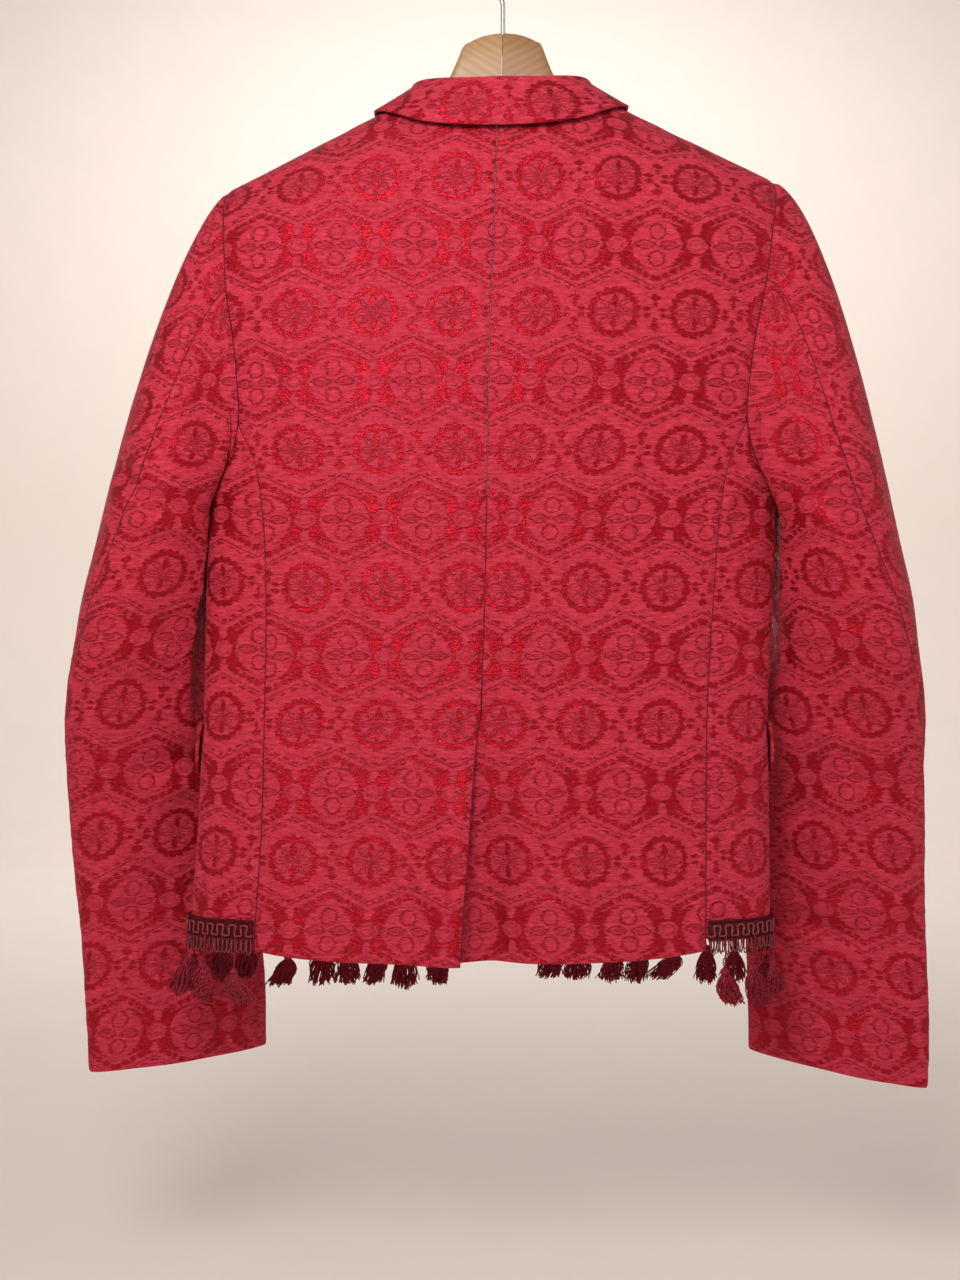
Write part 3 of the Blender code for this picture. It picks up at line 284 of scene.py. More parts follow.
CAP_LEAVES_LOW = 80.0  # the same at the underarm
CAP_PULL, CAP_PULL_LOW = 0.40, 0.64  # how firmly it keeps that way, at both places
CAP_MEETS = 0.97  # the same where it meets the first ring below
CAP_LOW = (0.30, 0.41)  # drops of the armhole between which high turns into low
CUFF_SLANT = {1: 0.06, -1: 0.13}  # how much lower the cuff's outer edge hangs, per metre across
CUFF_LOW = {1: 0.0, -1: 0.008}  # how much lower the whole cuff hangs
SLEEVE_CLEAR_TOP, SLEEVE_CLEAR_LOW = 0.0035, 0.0110  # room between it and the body
CLEAR_STARTS, CLEAR_GROWS = (0.340, 0.360), (0.46, 0.56)  # drops where that room does so
SLEEVE_BULGE = 0.0085  # how far its inner face swells towards the body below the armhole
BULGE_DROPS = (0.440, 0.480, 0.560, 0.640)  # where that comes and goes
CUFF_FROM = 0.700  # drop where the cuff's slant starts
CUFF_VENT = (0.770, 0.830)  # drops between which the vent opens
CUFF_OPEN, CUFF_REACH = {1: 0.0006, -1: 0.0030}, 0.10  # by how much, and over what share

# Pocket flaps
FLAP_TOP, FLAP_BOTTOM = 0.574, 0.613
FLAP_REAR, FLAP_FRONT = 0.87, 1.45  # around
FLAP_SLANT = 2.0  # how far the rear edge runs forward, around per metre down
FLAP_CORNER, FLAP_ROUND = 0.010, 0.07  # its rounded corners: down, and around
FLAP_PUFF = 0.0012  # how far its middle stands off

# Hem trim: a braid with a short fringe skirt, and tassels on cords
BRAID_TOP, BRAID_BOTTOM, SKIRT_BOTTOM = -0.0135, 0.0010, 0.0130  # below the cloth's edge
TASSEL_PITCH = 0.023
CORD_LONG, HEAD_LONG = 0.0085, 0.0052
STRAND = 0.00042  # radius of a loop, and of the twist of a tassel's cord
LOOPS = (
    # how far a row of loops falls, how far off the cloth, and its pitch
    (0.0105, 0.0005, 0.0021),
    (0.0092, 0.0018, 0.0036),
)
WAVE_LONG, WAVE_TALL, WAVE_SQUARE = 0.0086, 0.0038, 1.2  # the cord along the braid
BRAID_CORD, EDGE_CORDS = 0.00062, (0.0007, 0.0008)  # their radii
TASSEL_LONG = 0.0290  # with its head
TASSEL_CORD, TASSEL_HEAD = 0.00046, 0.0031  # radii of its cord's strands and of its head
SKIRT_HALF, SKIRT_SPREAD = 0.0024, (0.0078, 0.0112)  # radii under the head, and lower down
THREAD, THREAD_THINS = 0.00056, 0.00010  # a thread's radius, and what it loses by its end

# Hanger, each half from the glued joint out to the tip
HANGER = (
    # out, top drop, bottom drop, half thickness
    (0.0000, 0.0720, 0.1280, 0.0085),
    (0.0150, 0.0745, 0.1290, 0.0085),
    (0.0240, 0.0785, 0.1300, 0.0085),
    (0.0285, 0.0815, 0.1310, 0.0085),
    (0.0320, 0.0900, 0.1318, 0.0085),
    (0.0370, 0.1020, 0.1335, 0.0085),
    (0.0460, 0.1140, 0.1365, 0.0082),
    (0.0600, 0.1232, 0.1420, 0.0080),
    (0.0750, 0.1285, 0.1490, 0.0078),
    (0.0930, 0.1359, 0.1580, 0.0075),
    (0.1310, 0.1549, 0.1790, 0.0070),
    (0.1650, 0.1715, 0.1970, 0.0065),
    (0.1880, 0.1828, 0.2085, 0.0060),
    (0.1980, 0.1900, 0.2080, 0.0042),
)
HANGER_SQUARE = 3.4  # power of its rounded cross section
WIRE = 0.0017  # half the hook wire's thickness
HOOK_INSIDE = 0.0185  # radius inside the hook
HOOK_TURN = (122, -118.1, -3)  # its round, in degrees from its top: start, end and step
HOOK_PATH = (
    # left, drop
    (0.0000, 0.0870),
    (0.0000, 0.0700),
    (0.0000, 0.0560),
    (0.0000, 0.0500),
    (0.0016, 0.0452),
    (0.0060, 0.0406),
    (0.0112, 0.0361),
)


# Curves through short tables


def through(table, column, at):
    """A smooth curve through one column of a table, read at places given in its first column.
    Each stretch is a cubic whose end slopes come from the rows on both sides."""
    rows = np.asarray(table, float)
    places, values = rows[:, 0], rows[:, column]
    at = np.clip(at, places[0], places[-1])
    slopes = np.gradient(values, places)
    i = np.clip(np.searchsorted(places, at, side="right") - 1, 0, len(places) - 2)
    step = places[i + 1] - places[i]
    t = (at - places[i]) / step
    return (
        values[i] * (1 + 2 * t) * (1 - t) ** 2
        + values[i + 1] * t * t * (3 - 2 * t)
        + step * (slopes[i] * t * (1 - t) ** 2 + slopes[i + 1] * t * t * (t - 1))
    )


def numbered(rows):
    """A table with its row numbers put in front, so that through() can read it by row."""
    return [(i, *row) for i, row in enumerate(rows)]


def smooth(low, high, at):
    """0 at low and before it, 1 at high and past it, and an even S between them. Either
    of the two may be the larger number."""
    t = np.clip((at - low) / (high - low), 0.0, 1.0)
    return t * t * (3 - 2 * t)


def stretch(start, full, fading, end, at):
    """0 up to the start, 1 from full to fading, and 0 again from the end."""
    return smooth(start, full, at) * (1 - smooth(fading, end, at))


def running(steps, axis=0):
    """Running sums along an axis, with a 0 in front."""
    return np.insert(np.cumsum(steps, axis=axis), 0, 0.0, axis=axis)


def lengths(points, axis=0):
    """How far along a line, or along each column or row of a grid, its points lie."""
    return running(np.linalg.norm(np.diff(points, axis=axis), axis=-1), axis)


def evenly(points, count):
    """count points spaced evenly along a line of points."""
    along = lengths(points)
    at = np.linspace(0, along[-1], count)
    return np.stack([np.interp(at, along, column) for column in points.T], axis=1)


def unit(way, least=0.0):
    """Ways scaled to a length of 1. least keeps one without a length from failing."""
    return way / (np.linalg.norm(way, axis=-1, keepdims=True) + least)


def signed(value, power):
    """A power of a value's size, with the value's sign."""
    return np.sign(value) * np.abs(value) ** power


# The body's surface


def shoulder_drop(out):
    """Height of the shoulder line at a distance out."""
    return through(SHOULDER_LINE, 1, np.abs(out))


def out_at(around, drop):
    """Distance out of a place on the body, along the rounded section at that drop."""
    turn = np.radians(90.0) * np.asarray(around, float)
    return through(BODY, 1, drop) * signed(np.sin(turn), 2 / SQUARE)


def around_at(out, drop, front=False):
    """The inverse of out_at, on the back half of the section or on its front half."""
    share = np.clip(np.asarray(out, float) / through(BODY, 1, drop), -1, 1)
    turn = np.degrees(np.arcsin(np.abs(share) ** (SQUARE / 2))) / 90.0 * np.sign(share)
    return np.where(front, 2 - turn, turn)


def depth_at(back, drop):
    """The section's depth, behind the hanger or before it."""
    return np.where(back >= 0, through(BODY, 2, drop), through(BODY, 3, drop))


def near_ridge(out, drop):
    """0 below the rounding of the shoulders, 1 on their line and more above it."""
    return np.maximum(1 - (drop - shoulder_drop(out)) / RIDGE, 0.0)


def body(around, drop):
    """Outer face of the body, before it is mirrored and settled: (out, back, drop).
    The section is a superellipse, deeper or flatter behind and before the hanger. Near the
    shoulder line its depth closes as a quarter ellipse, so back and front meet on top."""
    around, drop = np.broadcast_arrays(np.asarray(around, float), np.asarray(drop, float))
    out = out_at(around, drop)
    c = np.cos(np.radians(90.0) * around)
    below = np.minimum(near_ridge(out, drop), 1.0)
    back = depth_at(c, drop) * signed(c, 2 / SQUARE) * np.sqrt(1 - below**2)
    return np.stack([out, back, drop], axis=-1)


def on_surface(flat):
    """The body's points at (around, drop)."""
    return body(flat[..., 0], flat[..., 1])


def body_level(out, back, drop):
    """0 on the body's outer face and more outside it:
    (back / depth)^2 - (1 - |out / width|^p)^(2/p) (1 - below^2)."""
    left_over = 1 - np.abs(out / through(BODY, 1, drop)) ** SQUARE
    round_off = signed(left_over, 2 / SQUARE) * (1 - near_ridge(out, drop) ** 2)
    return (back / depth_at(back, drop)) ** 2 - round_off


def steepest(points, step=1e-5):
    """The way that body_level rises fastest at some points, not scaled to a unit."""
    at = np.moveaxis(points, -1, 0)
    way = []
    for k in range(3):
        more, less = [*at], [*at]
        more[k], less[k] = at[k] + step, at[k] - step
        way.append((body_level(*more) - body_level(*less)) / (2 * step))
    return np.stack(way, axis=-1)


def outward(around, drop):
    """Unit normal of the body's outer face."""
    return unit(steepest(body(around, drop)))


def off_body(points, least):
    """Points moved off the body to at least this far out of it."""
    way = steepest(points)
    size = np.linalg.norm(way, axis=-1)
    distance = body_level(*np.moveaxis(points, -1, 0)) / size
    return points + way / size[..., None] * np.maximum(least - distance, 0)[..., None]


def armhole(rows):
    """Points of the armhole at row numbers of its table, which may run past either end."""
    rows = np.mod(np.asarray(rows, float), ARM_ROUND)
    table = numbered(ARMHOLE)
    return np.stack([through(table, 2, rows), through(table, 1, rows)], axis=-1)


def settle(points, side):
    """From the upright jacket to how it hangs, in the part's frame: mirrored to its side,
    shifted left by the lean at each drop, and tipped at the shoulders."""
    out, back, drop = np.moveaxis(np.asarray(points, float), -1, 0)
    x = side * out + through(LEAN, 1, drop)
    tip = SHOULDER_TIP * side * out * (1 - smooth(TIP_FROM, TIP_TO, drop))
    return np.stack([x, back, -(drop + tip)], axis=-1)


# Folds and creases, as seen from behind: from and to are (x, z), and the side is +1 on the
# back of a piece and -1 on its front. A crease sinks by its depth and rises beside it.
CREASES = (
    # side, from x, z, to x, z, depth, half width, rise beside it
    (1, -0.0490, -0.1815, -0.0800, -0.1625, 0.0040, 0.0095, 0.50),
    (1, -0.0800, -0.1625, -0.0985, -0.1790, 0.0028, 0.0095, 0.40),
    (1, -0.1050, -0.2050, -0.0640, -0.2330, 0.0013, 0.0150, 0.35),
    (1, 0.1000, -0.4660, 0.0180, -0.4610, 0.0010, 0.0110, 0.50),
    (1, -0.1990, -0.4050, -0.1640, -0.4330, 0.0018, 0.0090, 0.50),
    (1, -0.2000, -0.4600, -0.1680, -0.4700, 0.0016, 0.0085, 0.50),
    (1, -0.1980, -0.5150, -0.1730, -0.5230, 0.0012, 0.0085, 0.40),
    (1, 0.2090, -0.4180, 0.1800, -0.4490, 0.0016, 0.0095, 0.45),
    (1, 0.2080, -0.4900, 0.1850, -0.5040, 0.0012, 0.0085, 0.40),
    (1, 0.1500, -0.2100, 0.1050, -0.2500, 0.0010, 0.0190, 0.30),
    (1, 0.1250, -0.5800, 0.1330, -0.7200, 0.0016, 0.0240, 0.30),
    (1, 0.0640, -0.6300, 0.0660, -0.7400, 0.0014, 0.0200, 0.30),
    (1, -0.0680, -0.6000, -0.0720, -0.7400, 0.0015, 0.0220, 0.30),
    (1, -0.1250, -0.6500, -0.1280, -0.7350, 0.0013, 0.0170, 0.30),
    (-1, 0.0950, -0.2300, 0.1500, -0.2900, 0.0016, 0.0150, 0.40),
    (-1, -0.0900, -0.2350, -0.1480, -0.2850, 0.0015, 0.0140, 0.40),
    (-1, 0.0300, -0.5050, 0.1250, -0.4700, 0.0018, 0.0130, 0.50),
    (-1, 0.0350, -0.5150, 0.1100, -0.5450, 0.0014, 0.0140, 0.45),
    (-1, -0.0150, -0.5050, -0.1050, -0.4780, 0.0017, 0.0130, 0.50),
    (-1, -0.0150, -0.5150, -0.0950, -0.5500, 0.0015, 0.0140, 0.45),
    (-1, 0.1150, -0.6100, 0.1250, -0.7200, 0.0015, 0.0200, 0.30),
    (-1, -0.1050, -0.6200, -0.1080, -0.7200, 0.0015, 0.0200, 0.30),
)
SLEEVE_CREASES = (
    (1, 0.2740, -0.3890, 0.2230, -0.4270, 0.0054, 0.0085, 0.30),
    (1, 0.2700, -0.3990, 0.2420, -0.4150, 0.0016, 0.0060, 0.40),
    (1, 0.2150, -0.3480, 0.1950, -0.3900, 0.0018, 0.0085, 0.45),
    (1, 0.2620, -0.3300, 0.2250, -0.3560, 0.0014, 0.0110, 0.40),
    (1, 0.2720, -0.5020, 0.2330, -0.5210, 0.0016, 0.0110, 0.45),
    (1, 0.2800, -0.5520, 0.2400, -0.5560, 0.0013, 0.0110, 0.40),
    (1, 0.2640, -0.6110, 0.2100, -0.6100, 0.0052, 0.0120, 0.50),
    (1, 0.3030, -0.6300, 0.2620, -0.6420, 0.0014, 0.0120, 0.40),
    (1, 0.2860, -0.7300, 0.2500, -0.7180, 0.0011, 0.0140, 0.40),
    (1, -0.2010, -0.7200, -0.2420, -0.7330, 0.0066, 0.0085, 0.55),
    (1, -0.2420, -0.7330, -0.2760, -0.7390, 0.0052, 0.0090, 0.50),
    (1, -0.2760, -0.7060, -0.2440, -0.7050, 0.0020, 0.0110, 0.50),
    (1, -0.2160, -0.4020, -0.2420, -0.4300, 0.0020, 0.0085, 0.50),
    (1, -0.2100, -0.3450, -0.2360, -0.3760, 0.0018, 0.0090, 0.45),
    (1, -0.2180, -0.4900, -0.2560, -0.5040, 0.0018, 0.0090, 0.45),
    (1, -0.2330, -0.5700, -0.2700, -0.5640, 0.0017, 0.0100, 0.45),
    (1, -0.2480, -0.6180, -0.2900, -0.6300, 0.0018, 0.0110, 0.40),
    (1, -0.2080, -0.6480, -0.2440, -0.6560, 0.0020, 0.0110, 0.45),
    (-1, 0.2880, -0.4460, 0.2380, -0.4800, 0.0030, 0.0110, 0.50),
    (-1, 0.2820, -0.5250, 0.2300, -0.5300, 0.0026, 0.0120, 0.50),
    (-1, 0.2750, -0.6000, 0.2150, -0.5900, 0.0022, 0.0120, 0.45),
    (-1, -0.2750, -0.4500, -0.2280, -0.4760, 0.0030, 0.0110, 0.50),
    (-1, -0.2900, -0.5250, -0.2350, -0.5320, 0.0026, 0.0120, 0.50),
    (-1, -0.2950, -0.6050, -0.2400, -0.6000, 0.0022, 0.0120, 0.45),
)

# Where the middle of one disc of the brocade lies on each back, for its slanted grain
GRAIN = (
    # drop, x on the left back, x on the right back
    (0.1500, 0.0600, -0.0550),
    (0.2370, 0.0623, -0.0518),
    (0.2875, 0.0640, -0.0497),
    (0.3340, 0.0637, -0.0462),
    (0.4310, 0.0570, -0.0340),
    (0.4765, 0.0560, -0.0300),
    (0.5255, 0.0546, -0.0300),
    (0.5730, 0.0602, -0.0270),
    (0.6220, 0.0645, -0.0275),
    (0.6700, 0.0651, -0.0299),
    (0.7350, 0.0688, -0.0330),
)
DISC_HEIGHT = -0.2371  # z of a row of discs on the backs
# How far the repeat is moved on the other pieces: across and down, in metres
SIDE_REPEAT = {1: (0.0069, -0.0050), -1: (-0.0062, -0.0030)}
LAPEL_REPEAT = (0.01, 0.02)
FLAP_REPEAT = (0.015, 0.01)
# The sleeves' grain swings outwards below the elbow, by this much on the flat cut
SLEEVE_GRAIN = (
    # length down, across left, down left, across right, down right
    (-0.040, 0.0010, 0.0140, 0.0000, 0.0150),
    (0.067, 0.0010, 0.0180, 0.0000, 0.0160),
    (0.110, 0.0000, 0.0160, 0.0020, 0.0180),
    (0.165, 0.0040, 0.0200, 0.0100, 0.0245),
    (0.216, 0.0070, 0.0228, 0.0110, 0.0290),
    (0.266, 0.0155, 0.0250, 0.0120, 0.0355),
    (0.320, 0.0255, 0.0300, 0.0180, 0.0380),
    (0.367, 0.0350, 0.0310, 0.0230, 0.0388),
    (0.420, 0.0415, 0.0350, 0.0300, 0.0398),
    (0.480, 0.0470, 0.0370, 0.0360, 0.0405),
)
VENT_LIFT = {1: 0.0110, -1: -0.0130}  # how far each back stands off at the vent's hem
COLLAR_EDGE_OFF = 0.0024  # how much farther the fall's edge stands off at the centre back
LAPEL_EDGE_OFF = 0.0030  # how much farther a lapel's edge stands off
DRAWN_IN = 0.00002  # gap between sewn edges, so that no light shows through

# How the fine grids are shared out
LAP_COLUMNS, LAP_SHARE = 8, 0.022  # a back's first columns, and their share of its width
NECK_SHARE = 0.3  # share of a back's top edge that lies on the neck
VENT_REACH = {1: 0.026, -1: 0.020}  # how far from the vent's edge its lift reaches
CAP_ROWS = 62  # rows of a sleeve above its first ring
SLEEVE_MIDDLE = 0.2300  # how far out the middle of that ring lies, roughly

# How the cloth behaves at its edges
HELD, HELD_REACH = 0.30, 0.014  # share of a crease left at a seam, and where it is whole
SINK, SINK_REACH = 0.0007, 0.0024  # how deep a seam sinks, and how far from it
PUCKER, PUCKER_AT, PUCKER_REACH = 0.00035, 0.006, 0.004  # the waves beside a seam
EDGE_REACH, EDGE_THIN = 0.0016, 0.32  # a free edge thins out over this, by this share

# The cloth's unevenness: waves that cross, and smaller ones between them
DRAPE, DRAPE_SMALL = 0.00042, 0.00012
DRAPE_WAVES = (
    # height, radians per metre left, radians per metre up, shift
    (1.0, 61, 9, 0.6),
    (0.8, 97, -23, 2.1),
    (0.7, 19, 38, 1.3),
    (0.6, 131, 57, 4.0),
)

WORDS = {1: "left", -1: "right"}  # the sides' names
SEWN, HEM = ("left", "right", "high"), ("low",)  # edges of most pieces
ALL_ROUND = ("low", "high", "left", "right")

# Fine grids: the same edges as the part's, with many more rows and columns


def crowded(count, push=0.7):
    """Shares from 0 to 1 that lie closer at both ends: t - push sin(2 pi t) / (2 pi)."""
    t = np.linspace(0, 1, count)
    return t - push * np.sin(2 * np.pi * t) / (2 * np.pi)


def down_the_edge(r, table, hem, arm_rows, front):
    """A side seam from the hem up to the armhole and on along it, at row numbers r."""
    first = len(SEAM_POINTS) + 1
    drops = np.interp(r, np.arange(first), (hem, *SEAM_POINTS))
    low = np.stack([around_at(through(table, 1, drops), drops, front), drops], axis=1)
    arm = armhole(np.interp(r, np.arange(len(arm_rows)) + first, arm_rows) - JUST_SHORT * front)
    mix = np.clip(r - (first - 1), 0, 1)[:, None]
    return low * (1 - mix) + arm * mix


def filled(bottom, top, inner, outer, down, across):
    """A panel between four edges. The edges are arrays of (around, drop) along shares of
    their length, and the panel blends them: each pair is mixed linearly, and the part that
    both pairs count, the mix of the four corners, is taken off once."""
    v, u = down[:, None, None], across[None, :, None]
    corners = (
        (1 - v) * ((1 - u) * bottom[0] + u * bottom[-1]) + v * ((1 - u) * top[0] + u * top[-1])
    )
    return (
        (1 - v) * bottom[None] + v * top[None]
        + (1 - u) * inner[:, None] + u * outer[:, None]
        - corners
    )


def resampled(line, shares):
    """A line of (around, drop) read at shares of its length over the body."""
    along = lengths(on_surface(line))
    at = np.asarray(shares) * along[-1]
    return np.stack([np.interp(at, along, line[:, k]) for k in (0, 1)], axis=1)


def shoulder_edge(front):
    """From the neck point along the shoulder line to the armhole."""
    end = armhole([0])[0]
    outs = np.linspace(NECK_POINT_OUT, out_at(end[0], end[1]), 12)
    drops = shoulder_drop(outs)
    line = np.stack([around_at(outs, drops, front), drops], axis=1)
    line[-1] = armhole([ARM_ROUND - JUST_SHORT])[0] if front else end
    return line


def shares_of(line):
    """How far along the line each of its points is, from 0 to 1, measured over the body."""
    along = lengths(on_surface(line))
    return along / along[-1]


def vent_edge(side, drops):
    """How far the centre edge of a back lies out from the seam, below the vent's top."""
    below = np.clip((drops - VENT_TOP) / (BACK_HEM - VENT_TOP), 0, 1)
    return VENT_SPREAD * below**0.6 if side > 0 else 0 * below


def vent_sunk(out, drops):
    """How deep the right back sinks, so that its underlap passes behind the left back."""
    behind = smooth(*UNDERLAP_SINKS, out) * smooth(VENT_SINK, VENT_TOP - 0.001, drops)
    return (CLOTH + CLEAR) * behind


def on_body(flat):
    """The body's points at (around, drop), with their normals."""
    return on_surface(flat), outward(flat[..., 0], flat[..., 1])


def back_panel(side, rows=176, columns=64):
    """A back panel. Its first columns lie close to the seam, and on the right back they
    move past it below the vent's top, to make the underlap."""
    seam_out = BACK_SEAM_OUT * side
    listed = np.array((BACK_HEM, *CENTRE_POINTS))
    drops = BACK_HEM - (BACK_HEM - BACK_NECK) * crowded(rows)
    r = np.interp(-drops, -listed, np.arange(len(listed)))
    down = (BACK_HEM - drops) / (BACK_HEM - BACK_NECK)
    across = np.concatenate([
        LAP_SHARE * np.linspace(0, 1, LAP_COLUMNS),
        LAP_SHARE + (1 - LAP_SHARE) * crowded(columns, 0.6)[1:],
    ])
    across[np.argmin(np.abs(across - NECK_SHARE))] = NECK_SHARE
    inner = np.stack([around_at(seam_out + vent_edge(side, drops), drops), drops], axis=1)
    outer = down_the_edge(r, SIDE_BACK_SEAM, BACK_HEM_SIDE, BACK_ARM_POINTS, False)
    outs = np.linspace(seam_out, NECK_POINT_OUT, 40)
    rise = (BACK_NECK - shoulder_drop(NECK_POINT_OUT)) * (np.abs(outs) / NECK_POINT_OUT) ** 2.2
    neck = np.stack([around_at(outs, BACK_NECK - rise), BACK_NECK - rise], axis=1)
    neck_part = across <= NECK_SHARE
    top = np.concatenate([
        resampled(neck, across[neck_part] / NECK_SHARE),
        resampled(shoulder_edge(False), (across[~neck_part] - NECK_SHARE) / (1 - NECK_SHARE)),
    ])
    bottom = np.stack([
        inner[0, 0] + (outer[0, 0] - inner[0, 0]) * across,
        BACK_HEM + (BACK_HEM_SIDE - BACK_HEM) * across**2.5,
    ], axis=1)
    flat = filled(bottom, top, inner, outer, down, across)
    if side < 0:
        low = np.clip((drops - VENT_TOP) / 0.002, 0, 1)[:, None]
        under = UNDERLAP * np.clip(1 - across / LAP_SHARE, 0, 1)[None, :] * low
        out = out_at(flat[..., 0], flat[..., 1]) - under
        flat[..., 0] = np.where(under > 0, around_at(out, flat[..., 1]), flat[..., 0])
    grid, normals = on_body(flat)
    if side < 0:
        grid = grid - normals * vent_sunk(grid[..., 0] - seam_out, grid[..., 2])[..., None]
    lifted = VENT_LIFT[side] * smooth(VENT_TOP, BACK_HEM, grid[..., 2]) ** 0.8
    from_edge = grid[..., 0] - grid[:, LAP_COLUMNS : LAP_COLUMNS + 1, 0]
    near = np.exp(-((from_edge / VENT_REACH[side]) ** 2))
    return grid + normals * (lifted * near)[..., None], normals


def side_panel(rows=104, columns=38):
    """A side panel, between its two seams, the underarm and the hem."""
    joins = len(SEAM_POINTS) + 1
    listed = np.array((SIDE_HEM, *SEAM_POINTS, ARMHOLE[BACK_JOIN][0]))
    drops = SIDE_HEM - (SIDE_HEM - listed[-1]) * crowded(rows)
    r = np.interp(-drops, -listed, np.arange(joins + 1))
    back = down_the_edge(r, SIDE_BACK_SEAM, SIDE_HEM, (BACK_JOIN,), False)
    front = down_the_edge(r, SIDE_FRONT_SEAM, SIDE_HEM, (FRONT_JOIN,), True)
    across, down = crowded(columns, 0.6), shares_of(back)
    coarse = armhole(SIDE_ARM_POINTS)
    top = armhole(np.interp(across, shares_of(coarse), SIDE_ARM_POINTS))
    bottom = np.stack([
        back[0, 0] + (front[0, 0] - back[0, 0]) * across,
        np.full(len(across), SIDE_HEM),
    ], axis=1)
    return on_body(filled(bottom, top, back, front, down, across))


def front_edge_out(side, drops):
    """Distance of a front's edge from the middle, below the lapel."""
    swing = FRONT_SHIFT * smooth(BREAK_DROP, FRONT_HEM, drops)
    return through(FRONT_EDGE, 1, drops) - side * swing


def roll_at(side, t):
    """The line that the lapel turns over on, from the break up to the gorge: (out, drop)."""
    start = front_edge_out(side, BREAK_DROP)
    drops = BREAK_DROP + (GORGE[1] - BREAK_DROP) * t
    return np.stack([start + (GORGE[0] - start) * t, drops], axis=-1)


def corner_arc(side, start, end):
    """Part of the front's rounded corner, between two angles in degrees: (out, drop)."""
    edge = front_edge_out(side, FRONT_HEM - CORNER)
    turn = np.radians(np.linspace(start, end, 8))
    return np.stack([
        edge + CORNER * (1 - np.sin(turn)),
        FRONT_HEM - CORNER * (1 - np.cos(turn)),
    ], axis=1)


def on_front(line):
    """(out, drop) on the front half as (around, drop)."""
    return np.stack([around_at(line[:, 0], line[:, 1], True), line[:, 1]], axis=1)


def front_hem_line(side):
    """The front's hem, from the middle of its rounded corner to the side front seam."""
    arc = corner_arc(side, 45, 0)
    outs = np.linspace(arc[-1, 0], through(SIDE_FRONT_SEAM, 1, FRONT_HEM), 20)[1:]
    return np.concatenate([arc, np.stack([outs, np.full(19, FRONT_HEM)], axis=1)])


def front_inner_line(side):
    """The front's free edge, from the middle of its rounded corner up to the neck point."""
    drops = np.linspace(FRONT_HEM - CORNER, BREAK_DROP, 24)[1:]
    return np.concatenate([
        corner_arc(side, 45, 90),
        np.stack([front_edge_out(side, drops), drops], axis=1),
        roll_at(side, np.linspace(0, 1, 20)[1:]),
        [(row[0], row[1]) for row in COLLAR[-2:COLLAR_SIDE_ROW:-1]],
        [(NECK_POINT_OUT, shoulder_drop(NECK_POINT_OUT))],
    ])


def front_sunk(out, drops):
    """How deep the left front sinks, so that its edge passes behind the right front."""
    return (CLOTH + CLEAR) * smooth(*FRONT_SINKS, out) * stretch(*FRONT_LAP, drops)


def front_panel(side, rows=170, columns=60):
    """A front, from its free edge and the neck out to the side seam, armhole and shoulder."""
    across = crowded(columns, 0.6)
    joins = len(SEAM_POINTS) + len(FRONT_ARM_POINTS)
    listed = down_the_edge(
        np.arange(joins + 1.0), SIDE_FRONT_SEAM, FRONT_HEM, FRONT_ARM_POINTS, True
    )
    r = np.interp(crowded(rows), shares_of(listed), np.arange(joins + 1))
    outer = down_the_edge(r, SIDE_FRONT_SEAM, FRONT_HEM, FRONT_ARM_POINTS, True)
    down = shares_of(outer)
    inner = resampled(on_front(front_inner_line(side)), down)
    top = resampled(shoulder_edge(True), across)
    bottom = resampled(on_front(front_hem_line(side)), across)
    grid, normals = on_body(filled(bottom, top, inner, outer, down, across))
    if side > 0:
        grid = grid - normals * front_sunk(grid[..., 0], grid[..., 2])[..., None]
    return grid, normals


def sleeve_ring(side, drop, share, upper):
    """Section of the sleeve below the armhole, at shares from seam to seam. It is an
    ellipse turned from straight out by turn degrees."""
    drop, share = np.broadcast_arrays(np.asarray(drop, float), np.asarray(share, float))
    out = through(SLEEVE, 1 if side > 0 else 2, drop)
    forward, long, short, turn = (through(SLEEVE, k, drop) for k in range(3, 7))
    elbow, front = through(SLEEVE, 7 if side > 0 else 8, drop), through(SLEEVE, 9, drop)
    start, end = (front, elbow + 360) if upper else (elbow, front)
    angle = np.radians(start + (end - start) * share - turn)
    turn = np.radians(turn)
    cos, sin = long * np.cos(angle), short * np.sin(angle)
    x = out + cos * np.cos(turn) - sin * np.sin(turn)
    y = -forward + cos * np.sin(turn) + sin * np.cos(turn)
    swell = SLEEVE_BULGE * stretch(*BULGE_DROPS, drop)
    x = x - swell * np.clip((out - x) / short, 0, 1) ** 2
    slant = CUFF_LOW[side] + CUFF_SLANT[side] * (x - out)
    return np.stack([x, y, drop + slant * smooth(CUFF_FROM, SLEEVE[-1][0], drop)], axis=-1)


def clear_of_body(points, clear):
    """Sleeve points moved out to where they are clear of the body's side."""
    out, back, drop = np.moveaxis(points, -1, 0)
    within = np.clip(1 - (np.abs(back) / (depth_at(back, drop) + clear)) ** SQUARE, 0, 1)
    least = (through(BODY, 1, drop) + clear) * within ** (1 / SQUARE)
    below = smooth(*CLEAR_STARTS, drop)
    moved = points.copy()
    moved[..., 0] = out + np.maximum(least - out, 0) * below
    return moved


